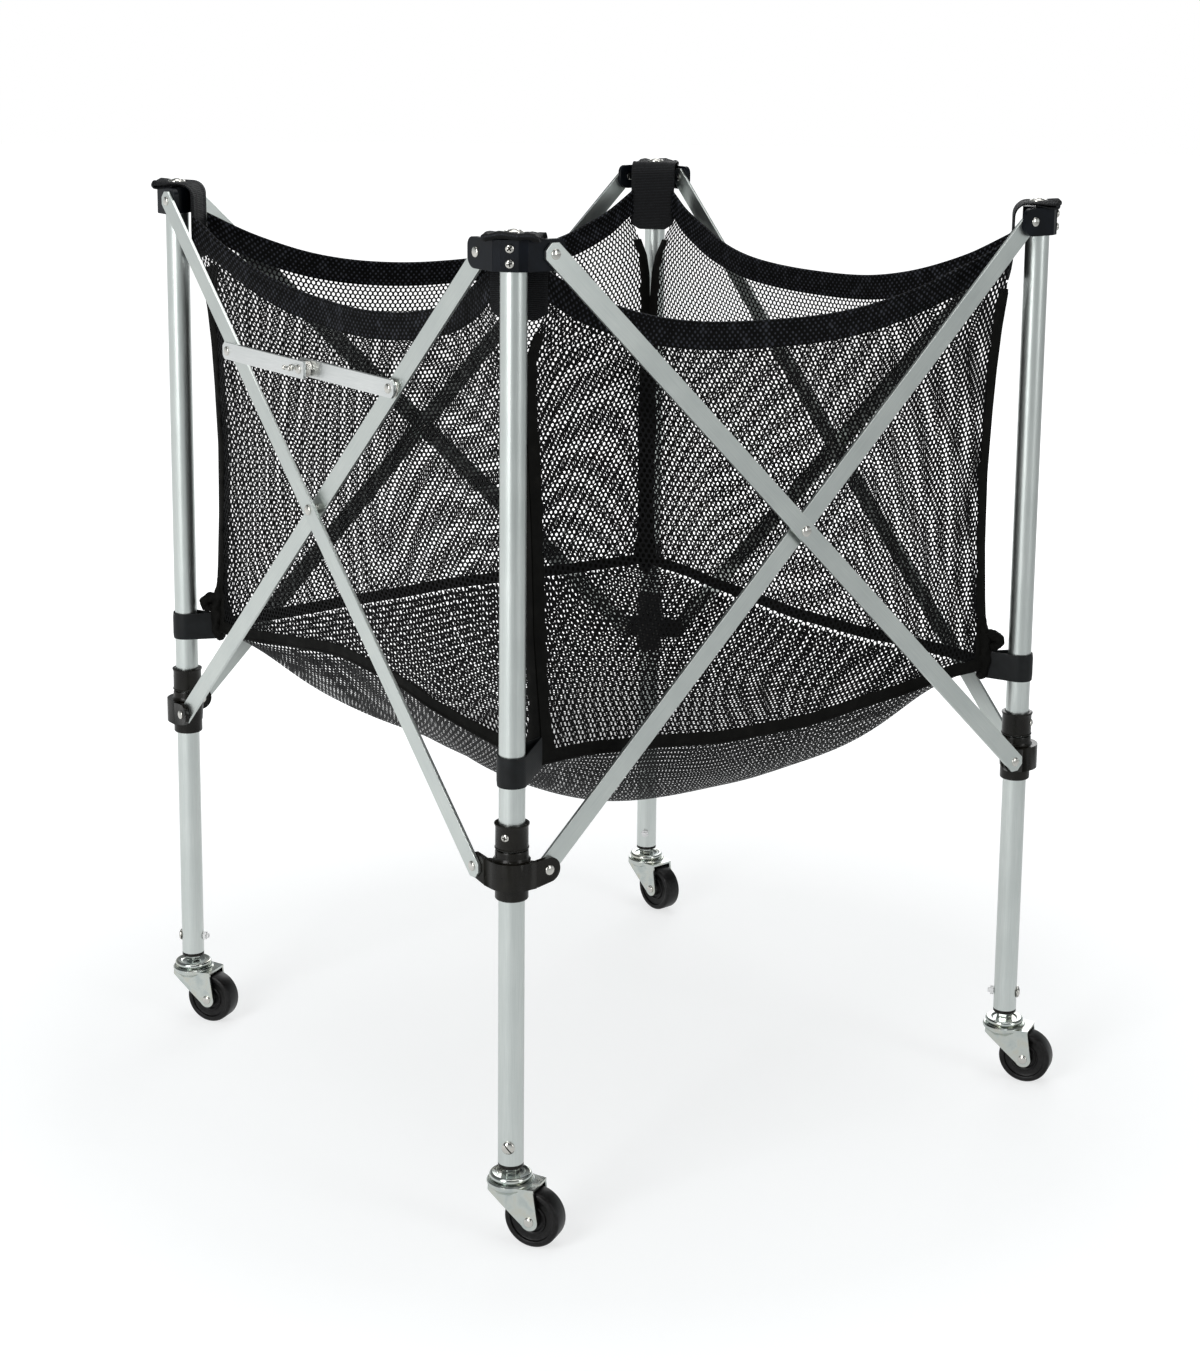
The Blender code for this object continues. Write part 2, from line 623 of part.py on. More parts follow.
def stem_mesh():
    """Plug, cross bolt, neck, bearing cup and kingpin, fixed in the post's lower end."""
    plug_radius = TUBE_RADIUS - TUBE_WALL - FIT
    flange_low = TUBE_BOTTOM_Z - FIT - PLUG_FLANGE
    cup_top = CUP_BOTTOM_Z + CUP_GROOVE_HEIGHT + CUP_HEIGHT
    dish = cup_top - CUP_DISH_DEPTH
    head_top = FORK_CROWN_Z - FIT
    profile = [(0.0, TUBE_BOTTOM_Z + PLUG_LENGTH), (plug_radius, TUBE_BOTTOM_Z + PLUG_LENGTH),
               (plug_radius, TUBE_BOTTOM_Z - FIT), (TUBE_RADIUS, TUBE_BOTTOM_Z - FIT),
               (TUBE_RADIUS, flange_low),
               (NECK_RADIUS, flange_low), (NECK_RADIUS, dish), (CUP_DISH_RADIUS, dish),
               (CUP_DISH_RADIUS + CUP_DISH_DEPTH, cup_top), (CUP_RADIUS - CUP_HEIGHT / 4, cup_top),
               (CUP_RADIUS, cup_top - CUP_HEIGHT / 3), (CUP_RADIUS, CUP_BOTTOM_Z + CUP_GROOVE_HEIGHT),
               (CUP_GROOVE_RADIUS, CUP_BOTTOM_Z + CUP_GROOVE_HEIGHT), (CUP_GROOVE_RADIUS, CUP_BOTTOM_Z),
               (KINGPIN_RADIUS, CUP_BOTTOM_Z), (KINGPIN_RADIUS, head_top), (KINGPIN_HEAD_RADIUS, head_top),
               (KINGPIN_HEAD_RADIUS, head_top - KINGPIN_HEAD_THICK), (0.0, head_top - KINGPIN_HEAD_THICK)]
    stem = turned(profile, (0, 0, 0), (0, 0, 1), SEGMENTS_TUBE)
    outward = Vector((-1, -1, 0)).normalized()
    height = Vector((0, 0, CROSS_BOLT_Z))
    head = outward * (TUBE_RADIUS + FIT)
    nut = -outward * (TUBE_RADIUS + FIT)
    length = 2 * (TUBE_RADIUS + FIT) + NUT_THICK + BOLT_END
    bolt = turned([*head_profile(CROSS_BOLT_HEAD_RADIUS, CROSS_BOLT_HEAD_HEIGHT), (CROSS_BOLT_RADIUS, 0.0),
                   (CROSS_BOLT_RADIUS, -length), (0.0, -length)], height + head, outward)
    add = [bolt, rod(NUT_RADIUS, height + nut, height + nut - outward * NUT_THICK, 6)]
    return combine(stem, add)


def fork_mesh():
    """The swivelling fork: a crown plate round the kingpin and two legs to the axle."""
    crown = [(FORK_TAIL, LEG_INSIDE + FORK_THICK)]
    crown += arc_points((0, 0), FORK_CROWN_RADIUS, 55, 305, 14) + [(FORK_TAIL, -(LEG_INSIDE + FORK_THICK))]
    plate = outline_plate(crown, FORK_THICK, Matrix.Translation((0, 0, FORK_CROWN_Z + FORK_THICK / 2)),
                          [(0, 0, KINGPIN_RADIUS + HOLE_SLACK)])
    axle = (TRAIL, WHEEL_RADIUS)
    top = FORK_CROWN_Z + FORK_THICK / 2
    leg = ([(FORK_TAIL, top), (-FORK_LEG_BACK, top), (-FORK_LEG_BACK, top - 2 * FORK_THICK)]
           + arc_points(axle, FORK_LEG_ROUND, 215, 360, 7))
    legs = [outline_plate(leg, FORK_THICK, in_face(side * (LEG_INSIDE + FORK_THICK / 2)),
                          [(*axle, AXLE_RADIUS + HOLE_SLACK)]) for side in (-1, 1)]
    return combine(plate, legs)


def wheel_mesh():
    """A moulded wheel with dished sides and a long hub. One facet lies flat on the ground."""
    grow = 1 / math.cos(math.pi / SEGMENTS_WHEEL)
    rim, half, hub = WHEEL_RADIUS * grow, WHEEL_WIDTH / 2, HUB_WIDTH / 2
    shoulder = rim - WHEEL_SHOULDER
    bore = AXLE_RADIUS + HOLE_SLACK
    recess = half - WHEEL_RECESS
    side = [(shoulder, half), (rim - WHEEL_SHOULDER / 4, half - WHEEL_SHOULDER * 0.7),
            (rim, half - WHEEL_SHOULDER)]
    outer = side + [(radius, -height) for radius, height in reversed(side)]
    lower = [(WHEEL_FACE_RADIUS, -half), (WHEEL_FACE_RADIUS - WHEEL_RECESS, -recess), (HUB_RADIUS, -recess),
             (HUB_RADIUS, -hub), (bore, -hub)]
    upper = [(radius, -height) for radius, height in reversed(lower)]
    mesh = evaluated_mesh(turned(outer + lower + upper, (0, 0, 0), (0, 1, 0), SEGMENTS_WHEEL))
    mesh.transform(facet_down(mesh))
    mesh.transform(Matrix.Translation((TRAIL, 0, WHEEL_RADIUS)))
    return mesh


def facet_down(mesh):
    """The turn about Y that brings a tread facet level at the bottom."""
    rim = max(mesh.vertices, key=lambda vertex: round(math.hypot(vertex.co.x, vertex.co.z), 6))
    angle = math.atan2(rim.co.z, rim.co.x)
    return Matrix.Rotation(angle + math.pi / 2 + math.pi / SEGMENTS_WHEEL, 4, "Y")


def axle_mesh():
    """The rivet that the wheel turns on."""
    reach = LEG_INSIDE + FORK_THICK + FIT
    ends = [(0.0, reach + AXLE_HEAD_HEIGHT), (AXLE_HEAD_RADIUS * 0.7, reach + AXLE_HEAD_HEIGHT * 0.7),
            (AXLE_HEAD_RADIUS, reach), (AXLE_RADIUS, reach)]
    profile = ends + [(radius, -height) for radius, height in reversed(ends)]
    return evaluated_mesh(turned(profile, (TRAIL, 0, WHEEL_RADIUS), (0, 1, 0)))


# Straps

def sheet_mesh(points_of, columns, rows, thickness, weights=None, thin_share=1.0, is_open=None):
    """A grid moved to points_of(column share, row number) and thickened about its middle.

    is_open(column, row) tells which of its fields are left out.
    """
    work = bmesh.new()
    bmesh.ops.create_grid(work, x_segments=columns, y_segments=rows, size=0.5)
    work.verts.ensure_lookup_table()
    if is_open:
        fields = [(face, face.calc_center_median() + Vector((0.5, 0.5, 0))) for face in work.faces]
        opened = [face for face, centre in fields if is_open(int(centre.x * columns), int(centre.y * rows))]
        bmesh.ops.delete(work, geom=opened, context="FACES_ONLY")
    row_of = {}
    for vertex in work.verts:
        share, row = vertex.co.x + 0.5, round((vertex.co.y + 0.5) * rows)
        row_of[vertex.index] = row
        vertex.co = points_of(share, row)
    mesh = bpy.data.meshes.new("sheet")
    work.to_mesh(mesh)
    work.free()
    made = shape_object("sheet", mesh)
    if weights:
        group = made.vertex_groups.new(name="thick")
        for index, row in row_of.items():
            group.add([index], weights[row], "REPLACE")
    wall = made.modifiers.new("thickness", "SOLIDIFY")
    wall.thickness = thickness
    wall.offset = 0
    if weights:
        wall.vertex_group = "thick"
        wall.thickness_vertex_group = thin_share
    mesh = evaluated_mesh(made)
    work = bmesh.new()
    work.from_mesh(mesh)
    bmesh.ops.recalc_face_normals(work, faces=work.faces)
    work.to_mesh(mesh)
    work.free()
    return mesh


def diagonal(inward, across, z):
    """A point given by its distance inward along the corner's diagonal and across it."""
    return Vector(((inward + across) / SQRT2, (inward - across) / SQRT2, z))


def top_strap_mesh():
    """Webbing folded over the bracket and hung down behind the post."""
    flat_z = BRACKET_TOP_Z + FIT + TOP_STRAP_THICK / 2
    bend = TOP_STRAP_BEND
    centre = (TOP_STRAP_INSET - bend, flat_z - bend)
    path = [(-TOP_STRAP_OUT, flat_z), (-TOP_STRAP_OUT / 2, flat_z), (0.0, flat_z), (TOP_STRAP_OUT / 2, flat_z)]
    path += arc_points(centre, bend, 90, 0, 4) + [(TOP_STRAP_INSET, TOP_STRAP_END_Z)]

    def points_of(share, row):
        inward, z = path[row]
        return diagonal(inward, (share - 0.5) * TOP_STRAP_WIDTH, z)

    strap = shape_object("strap", sheet_mesh(points_of, 4, len(path) - 1, TOP_STRAP_THICK))
    hole = rod(EYELET_SHANK_RADIUS + HOLE_SLACK, (0, 0, BRACKET_TOP_Z - FIT),
               (0, 0, BRACKET_TOP_Z + 2 * TOP_STRAP_THICK))
    return combine(strap, cut=[hole])


def low_strap_mesh():
    """A band round the post with a tab that holds the bag's lower corner."""
    low, high = LOW_STRAP_Z, LOW_STRAP_Z + LOW_STRAP_HEIGHT
    outer = BORE_RADIUS + LOW_STRAP_THICK
    band = turned([(outer, high), (outer, low), (BORE_RADIUS, low), (BORE_RADIUS, high)],
                  (0, 0, 0), (0, 0, 1), SEGMENTS_TUBE)
    start = BORE_RADIUS + LOW_STRAP_THICK / 2
    end = (CORNER_INSET - BAND_THICK / 2) * SQRT2 - FIT
    half = LOW_TAB_THICK / 2
    outline = [(diagonal(along_it, across, 0).x, diagonal(along_it, across, 0).y)
               for along_it, across in ((start, half), (end, half), (end, -half), (start, -half))]
    tab = outline_plate(outline, LOW_STRAP_HEIGHT, Matrix.Translation((0, 0, (low + high) / 2)))
    return combine(band, [tab])


# Net bag

def ease(value):
    value = min(max(value, 0.0), 1.0)
    return value * value * (3 - 2 * value)


def seam_z(face, share):
    """Height of the bag's bottom seam along a face."""
    return SEAM_CORNER_Z + SEAM_RISE[face] * math.sin(math.pi * share) ** 2


def hem_z(share):
    return HEM_MIDDLE_Z + HEM_RISE * abs(2 * share - 1) ** HEM_POWER


def grid_lines(openings):
    """Places from 0 to 1 where bars and openings take turns. A half bar stands at each end."""
    half_bar = BAR_SHARE / openings / 2
    lines = [0.0]
    for number in range(openings):
        lines += [number / openings + half_bar, (number + 1) / openings - half_bar]
    return lines + [1.0]


def wall_mesh(face):
    """One net wall with its hem and bottom tape. Its top corners gather to the straps."""
    hem_rows = [0.0, HEM_HEIGHT, HEM_HEIGHT + BAND_STEP]
    across, upward = grid_lines(WALL_OPENINGS), grid_lines(WALL_OPENING_ROWS)
    columns, net_rows = len(across) - 1, len(upward) - 1
    last = net_rows + 3

    def row_z(share, row):
        low, top = seam_z(face, share), hem_z(share)
        tape, hem = low + TAPE_HEIGHT + BAND_STEP, top - hem_rows[2]
        if row <= 1:
            return low + row * TAPE_HEIGHT
        if row >= last:
            return top - hem_rows[last + 1 - row]
        return tape + (hem - tape) * upward[row - 2]

    def is_open(column, row):
        return column % 2 == 1 and 2 <= row < last - 1 and (row - 2) % 2 == 1

    def points_of(share, row):
        share = across[round(share * columns)]
        z = row_z(share, row)
        corner_top = HEM_MIDDLE_Z + HEM_RISE
        gather = ease((z - (corner_top - GATHER_HEIGHT)) / (GATHER_HEIGHT - HEM_HEIGHT * 0.7))
        gather *= ease(abs(2 * share - 1) * 3 - 2)
        inset = CORNER_INSET + gather * (HEM_INSET_OUT - CORNER_INSET)
        start = CORNER_INSET - BAND_THICK / 2
        start += gather * (HEM_INSET_ALONG - start)
        end = CORNER_INSET + BAND_THICK / 2 + 2 * FIT
        end += gather * (HEM_INSET_ALONG - end)
        height = (z - SEAM_CORNER_Z) / (HEM_MIDDLE_Z - SEAM_CORNER_Z)
        edge = BULGE_AT_EDGES + (1 - BULGE_AT_EDGES) * math.sin(math.pi * min(max(height, 0.0), 1.0))
        bulge = WALL_BULGE * edge * math.sin(math.pi * share)
        return Vector((start + (POST_PITCH - start - end) * share, inset - bulge, z))

    weights = [1.0, 1.0] + [0.0] * (net_rows + 1) + [1.0, 1.0]
    return sheet_mesh(points_of, columns, last + 1, BAND_THICK, weights, NET_THICK / BAND_THICK, is_open)


def floor_mesh(side):
    """Half of the bag's floor, which bulges below the bottom seam. It has a half on each side of the fold."""
    half = POST_PITCH / 2 - CORNER_INSET
    rises = [SEAM_RISE[face] for face in FACES]
    along_x, along_y = grid_lines(FLOOR_OPENINGS // 2), grid_lines(FLOOR_OPENINGS)
    columns, rows = len(along_x) - 1, len(along_y) - 1

    def seam(p, q):
        """Seam height carried in from the four edges: front right, back right, back left, front left."""
        edges = ((q, -1, p), (p, 1, q), (q, 1, p), (p, -1, q))
        total = SEAM_CORNER_Z
        for rise, (across, side, run) in zip(rises, edges):
            near = max((1 + side * across) / 2, 0.0) ** 2
            total += rise * near * math.cos(math.pi * run / 2) ** 2
        return total

    def points_of(share, row):
        share = along_x[round(share * columns)]
        p, q = side * (FIT / half + (1 - FIT / half) * share), 2 * along_y[row] - 1
        edge = WALL_BULGE * BULGE_AT_EDGES
        x = p * (half + edge * math.cos(math.pi * q / 2))
        y = q * (half + edge * math.cos(math.pi * p / 2))
        drop = FLOOR_DROP * (1 - abs(p) ** FLOOR_POWER) * (1 - abs(q) ** FLOOR_POWER)
        return Vector((x, y, seam(p, q) - NET_THICK / 2 - FIT - drop))

    def is_open(column, row):
        return column % 2 == 1 and row % 2 == 1

    return sheet_mesh(points_of, columns, rows, NET_THICK, is_open=is_open)


# Assembly

def at(frame, x, depth, z):
    """A pivot's place in a face: along it, outward, and up."""
    return frame @ Matrix.Translation((x, -depth, z))


def build_cart():
    frames = [corner_frame(i) for i in range(4)]
    low_start, low_end = EAR_REACH, POST_PITCH - EAR_REACH
    middle = POST_PITCH / 2
    groups = {"front": ROOT}

    # Scissor tree: each brace pair hangs on a post and carries the next post.
    bars, collars = {}, {}

    def pair(face, carrier, from_start):
        """Pivots of one face's two braces. The first hangs on the carrier's top ear."""
        frame = frames[face]
        first, second = ("outer", "inner") if from_start else ("inner", "outer")
        top_x = low_start if from_start else low_end
        depth = OUTER_BAR_BACK if first == "outer" else INNER_BAR_BACK
        hung = pivot(f"axis_{first}_{FACES[face]}", at(frame, top_x, depth, TOP_PIVOT_Z), carrier)
        crossed = pivot(f"axis_{second}_{FACES[face]}", at(frame, middle, EAR_BACK, CROSSING_Z), hung)
        bars[face, first], bars[face, second] = hung, crossed
        return hung, crossed

    hung, crossed = pair(0, ROOT, True)
    groups["right"] = pivot("axis_post_right", at(frames[0], low_end, EAR_BACK, TOP_PIVOT_Z), crossed)
    collars["right"] = pivot("axis_collar_right", at(frames[0], low_end, EAR_BACK, LOW_PIVOT_Z), hung)
    collars["front"] = pivot("axis_collar_front", at(frames[0], low_start, EAR_BACK, LOW_PIVOT_Z), crossed)
    hung, crossed = pair(3, ROOT, False)
    groups["left"] = pivot("axis_post_left", at(frames[3], low_start, EAR_BACK, TOP_PIVOT_Z), crossed)
    collars["left"] = pivot("axis_collar_left", at(frames[3], low_start, EAR_BACK, LOW_PIVOT_Z), hung)
    hung, crossed = pair(1, groups["right"], True)
    groups["back"] = pivot("axis_post_back", at(frames[1], low_end, EAR_BACK, TOP_PIVOT_Z), crossed)
    collars["back"] = pivot("axis_collar_back", at(frames[1], low_end, EAR_BACK, LOW_PIVOT_Z), hung)
    pair(2, groups["back"], True)

    post, bracket, stop_ring, collar = post_mesh(), bracket_mesh(), stop_ring_mesh(), collar_mesh()
    stem, top_strap, low_strap = stem_mesh(), top_strap_mesh(), low_strap_mesh()
    fork, wheel, axle = fork_mesh(), wheel_mesh(), axle_mesh()
    for i, name in enumerate(POSTS):
        group = groups[name]
        add_piece(f"post_{name}", post, ALUMINIUM, frames[i], group)
        add_piece(f"top_bracket_{name}", bracket, BLACK_PLASTIC, frames[i], group)
        add_piece(f"stop_ring_{name}", stop_ring, BLACK_PLASTIC, frames[i], group)
        add_piece(f"slide_collar_{name}", collar, BLACK_PLASTIC, frames[i], collars[name])
        add_piece(f"top_strap_{name}", top_strap, WEBBING, frames[i], group)
        add_piece(f"lower_strap_{name}", low_strap, WEBBING, frames[i], group)
        add_piece(f"caster_stem_{name}", stem, STEEL, frames[i], group)
        heading = Matrix.Rotation(math.radians(CASTER_HEADING[name]), 4, "Z")
        caster = Matrix.Translation(frames[i].translation) @ heading
        swivel = pivot(f"axis_swivel_{name}", caster, group)
        spin = pivot(f"axis_wheel_{name}", caster @ Matrix.Translation((TRAIL, 0, WHEEL_RADIUS)), swivel)
        add_piece(f"caster_fork_{name}", fork, STEEL, caster, swivel)
        add_piece(f"caster_axle_{name}", axle, STEEL, caster, swivel)
        add_piece(f"caster_wheel_{name}", wheel, WHEEL_PLASTIC, caster, spin)

    outer, outer_strut, inner = outer_brace_mesh(False), outer_brace_mesh(True), inner_brace_mesh()
    wall_carriers = (ROOT, groups["right"], groups["left"], ROOT)
    for i, face in enumerate(FACES):
        mesh = outer_strut if face == "front_left" else outer
        add_piece(f"outer_brace_{face}", mesh, ALUMINIUM, frames[i], bars[i, "outer"])
        add_piece(f"inner_brace_{face}", inner, ALUMINIUM, frames[i], bars[i, "inner"])
        add_piece(f"net_wall_{face}", wall_mesh(face), NET, frames[i], wall_carriers[i])
    add_piece("net_floor_left", floor_mesh(-1), NET, Matrix.Identity(4), ROOT)
    add_piece("net_floor_right", floor_mesh(1), NET, Matrix.Identity(4), groups["right"])

    frame = frames[3]
    link = pivot("axis_strut_left", at(frame, middle - STRUT_HALF, LEFT_LINK_BACK, STRUT_Z), bars[3, "outer"])
    knee = pivot("axis_strut_knee", at(frame, middle, RIGHT_LINK_BACK, STRUT_Z), link)
    lock = pivot("axis_lock_pin", at(frame, middle - LOCK_OFFSET, LEFT_LINK_BACK, STRUT_Z), link)
    add_piece("strut_link_left", left_link_mesh(), ALUMINIUM, frame, link)
    add_piece("strut_link_right", right_link_mesh(), ALUMINIUM, frame, knee)
    add_piece("strut_knee_spring", knee_spring_mesh(), STEEL, frame, link)
    add_piece("strut_lock_pin", lock_pin_mesh(), STEEL, frame, lock)


def centre_on_ground():
    """Moves the cart so that its box stands centred on the origin."""
    bpy.context.view_layer.update()
    corners = [piece.matrix_world @ vertex.co for piece in CART.objects if piece.type == "MESH"
               for vertex in piece.data.vertices]
    low = Vector([min(corner[axis] for corner in corners) for axis in range(3)])
    high = Vector([max(corner[axis] for corner in corners) for axis in range(3)])
    ROOT.location = (-(low.x + high.x) / 2, -(low.y + high.y) / 2, -low.z)
    bpy.context.view_layer.update()


build_cart()
centre_on_ground()
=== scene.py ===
# %% [markdown]
# # A folding ball cart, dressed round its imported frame
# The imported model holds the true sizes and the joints, so it is loaded first and never moved. Everything below
# is a finer piece that sits where a frame piece is, rides on the same body, and hides the plain one.

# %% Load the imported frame
import math

import bmesh
import bpy
from mathutils import Matrix, Vector


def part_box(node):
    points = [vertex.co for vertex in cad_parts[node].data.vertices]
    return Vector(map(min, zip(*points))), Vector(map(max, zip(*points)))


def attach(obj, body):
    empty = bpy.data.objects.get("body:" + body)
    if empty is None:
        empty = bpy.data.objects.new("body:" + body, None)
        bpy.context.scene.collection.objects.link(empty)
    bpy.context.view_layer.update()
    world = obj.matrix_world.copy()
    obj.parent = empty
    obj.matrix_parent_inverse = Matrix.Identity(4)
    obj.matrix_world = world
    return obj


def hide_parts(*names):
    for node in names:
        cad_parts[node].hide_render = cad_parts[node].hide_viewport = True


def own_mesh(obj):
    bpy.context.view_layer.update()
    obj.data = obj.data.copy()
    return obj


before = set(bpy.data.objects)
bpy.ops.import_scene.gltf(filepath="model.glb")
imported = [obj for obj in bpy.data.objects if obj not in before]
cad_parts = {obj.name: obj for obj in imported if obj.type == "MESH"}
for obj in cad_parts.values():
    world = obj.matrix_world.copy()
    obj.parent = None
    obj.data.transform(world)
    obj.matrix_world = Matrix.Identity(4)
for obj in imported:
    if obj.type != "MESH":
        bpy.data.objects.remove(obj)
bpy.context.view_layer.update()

POSTS = ("front", "right", "back", "left")
FACES = ("front_right", "back_right", "back_left", "front_left")


def middle(node):
    """The middle of a frame piece's box."""
    low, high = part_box(node)
    return (low + high) / 2


AXES = [middle(f"post_{name}") for name in POSTS]
PITCH = AXES[1].x - AXES[0].x
print("posts stand", round(PITCH * 1000, 1), "mm apart")

# %% [markdown]
# The cart looks the same from each corner, so a corner is made once and turned. In the corner frame the post's
# axis is Z, the next face runs along +X and -Y points out of it. A quarter turn brings the next corner, and no
# mirror is needed, which keeps faces pointing outwards.

# %% Corner frames
CORNERS = [Matrix.Translation((axis.x, axis.y, 0)) @ Matrix.Rotation(index * math.pi / 2, 4, "Z")
           for index, axis in enumerate(AXES)]
OUTWARD, ACROSS = Vector((-1, -1, 0)).normalized(), Vector((1, -1, 0)).normalized()
UP = Vector((0, 0, 1))


def in_face(depth):
    """A plate's own XY plane stood up parallel to a face, at a depth outside the posts' axes."""
    return Matrix.Translation((0, -depth, 0)) @ Matrix.Rotation(math.radians(90), 4, "X")


def on_corner(inward, z):
    """A point over the corner's diagonal, from its distance towards the bag and its height."""
    return -OUTWARD * inward + UP * z


def on_diagonal(inward, across):
    """A plan point from its distance inward along the corner's diagonal and across it."""
    return ((inward + across) / math.sqrt(2), (inward - across) / math.sqrt(2))


# %% [markdown]
# The camera stands in front of one corner, a little above the hem, and looks slightly down. A long lens keeps
# the posts nearly parallel. The lens is shifted down instead of tilting the camera more, as a product
# photographer does, so that the posts don't lean together.

# %% Camera
IMAGE_HEIGHT, LENS_AXIS_ROW, FOCAL_PIXELS = 1372, 480, 2570.6
SENSOR = 36.0
CAMERA_PLACE = (-1.4233, -1.9613, 1.0556)
HEADING, DOWN, ROLL = (math.radians(angle) for angle in (53.92, 11.10, -0.57))

lens = bpy.data.cameras.new("camera")
lens.sensor_width = SENSOR
lens.lens = FOCAL_PIXELS * SENSOR / IMAGE_HEIGHT
lens.shift_y = (LENS_AXIS_ROW - IMAGE_HEIGHT / 2) / IMAGE_HEIGHT
camera = bpy.data.objects.new("camera", lens)
bpy.context.scene.collection.objects.link(camera)
ahead = Vector((math.cos(HEADING) * math.cos(DOWN), math.sin(HEADING) * math.cos(DOWN), -math.sin(DOWN)))
right = Vector((math.sin(HEADING), -math.cos(HEADING), 0))
roll = Matrix.Rotation(ROLL, 3, ahead)
turned = Matrix((roll @ right, roll @ right.cross(ahead), -ahead)).transposed().to_4x4()
camera.matrix_world = Matrix.Translation(CAMERA_PLACE) @ turned
bpy.context.scene.camera = camera
print("lens", round(lens.lens, 1), "mm, shift", round(lens.shift_y, 3))

# %% [markdown]
# A material starts from what the real surface is. Most surfaces here are one recipe: a pattern that tints the
# colour, one that varies the roughness, and one that lifts the surface. Small helpers turn a colour as a screen
# shows it into linear light, add a node with its settings and links, and follow the recipe.

# %% Material helpers
def colour(code):
    """An sRGB hex colour as linear light, with alpha."""
    parts = [int(code[i:i + 2], 16) / 255 for i in (1, 3, 5)]
    return (*[part / 12.92 if part <= 0.04045 else ((part + 0.055) / 1.055) ** 2.4 for part in parts], 1.0)


def add_node(tree, kind, inputs=(), **settings):
    """Adds a shader node. An input is given a value, or the socket that feeds it."""
    made = tree.nodes.new("ShaderNode" + kind)
    for key, value in settings.items():
        setattr(made, key, value)
    for key, value in dict(inputs).items():
        if isinstance(value, bpy.types.NodeSocket):
            tree.links.new(value, made.inputs[key])
        else:
            made.inputs[key].default_value = value
    return made


def noise(tree, place, size_mm, detail=3.0, **more):
    """Noise whose lumps are this many millimetres, on coordinates in metres."""
    inputs = {"Vector": place, "Scale": 1000 / size_mm, "Detail": detail, **more}
    return add_node(tree, "TexNoise", inputs).outputs["Fac"]


def times(tree, first, second):
    return add_node(tree, "Math", {0: first, 1: second}, operation="MULTIPLY").outputs[0]


def spread(tree, value, low, high, begin=0.0, end=1.0):
    """A value that runs from begin to end, made to run from low to high."""
    return add_node(tree, "MapRange", {"Value": value, "From Min": begin, "From Max": end, "To Min": low,
                                       "To Max": high}).outputs["Result"]


def ramp(tree, value, tones):
    """Colours over a pattern. Each tone is (place, hex colour)."""
    made = add_node(tree, "ValToRGB", {0: value})
    points = made.color_ramp.elements
    for point, (stop, code) in zip((points[0], points[1]), (tones[0], tones[-1])):
        point.position, point.color = stop, colour(code)
    for stop, code in tones[1:-1]:
        points.new(stop).color = colour(code)
    return made.outputs["Color"]


def new_finish(name, constants):
    """A material with one Principled shader. Its constants sit on the shader's own sockets."""
    material = bpy.data.materials.new(name)
    material.use_nodes = True
    shader = material.node_tree.nodes["Principled BSDF"]
    for key, value in constants.items():
        shader.inputs[key.replace("_", " ")].default_value = value
    return material, material.node_tree, shader


def finish(name, space, patterns, tones, roughness, relief=None, **constants):
    """The recipe. patterns gives three patterns: for colour, for roughness and for relief (mm deep, strength)."""
    material, tree, shader = new_finish(name, constants)
    if space == "Object":
        place = add_node(tree, "TexCoord").outputs[space]
    else:
        place = add_node(tree, "UVMap", uv_map=space).outputs["UV"]
    tone, wear, height = patterns(tree, place)
    if tones:
        tree.links.new(ramp(tree, tone, tones), shader.inputs["Base Color"])
    tree.links.new(spread(tree, wear, *roughness), shader.inputs["Roughness"])
    if relief:
        bump = add_node(tree, "Bump", {"Height": height, "Distance": relief[0] / 1000, "Strength": relief[1]})
        tree.links.new(bump.outputs["Normal"], shader.inputs["Normal"])
    return material


# %% [markdown]
# A large pale floor fills the picture. For the camera it glows a little, less round the cart than far away, so it
# is as white as catalogue paper and still keeps a soft shadow under each wheel. The world is white for the camera
# too. What the metal reflects is a floor that grows lighter towards the back left, a room that darkens towards
# its ceiling, and the softboxes: a small bright dome needs something dark around it to read as round.

# %% Floor, world and lights
FLOOR_LIGHTER = (-0.30, 0.95, 0.0)
GLOW_NEAR, GLOW_FAR, GLOW_FROM, GLOW_TO = 0.67, 1.07, 0.5, 1.5
FILL_DARK, FILL_LIGHT, FILL_REACH = 0.22, 0.68, 1.8
ROOM_LOW, ROOM_HIGH, ROOM_FROM, ROOM_TO = 1.45, 0.30, 0.02, 0.45
CART_MIDDLE = (0, 0, 0.45)


def paper_white():
    # Matte paper: no shine, and a glow that lifts it to white without hiding the contact shadows.
    material, tree, shader = new_finish("matte_white_paper", {
        "Base Color": colour("#A6A9AA"), "Roughness": 0.95, "Emission Color": colour("#FFFFFF"),
        "Specular IOR Level": 0.1})
    place = add_node(tree, "TexCoord").outputs["Object"]
    far = add_node(tree, "VectorMath", {0: place}, operation="LENGTH").outputs["Value"]
    side = add_node(tree, "VectorMath", {0: place, 1: FLOOR_LIGHTER}, operation="DOT_PRODUCT").outputs["Value"]
    seen = add_node(tree, "Mix", {"Factor": add_node(tree, "LightPath").outputs["Is Camera Ray"],
                                  "A": spread(tree, side, FILL_DARK, FILL_LIGHT, -FILL_REACH, FILL_REACH),
                                  "B": spread(tree, far, GLOW_NEAR, GLOW_FAR, GLOW_FROM, GLOW_TO)},
                    data_type="FLOAT").outputs["Result"]
    tree.links.new(seen, shader.inputs["Emission Strength"])
    return material


bpy.ops.object.select_all(action="DESELECT")
bpy.ops.mesh.primitive_circle_add(vertices=96, radius=14, fill_type="NGON", location=(0, 0, -0.0004))
floor = bpy.context.object
floor.name = "floor"
floor.data.materials.append(paper_white())

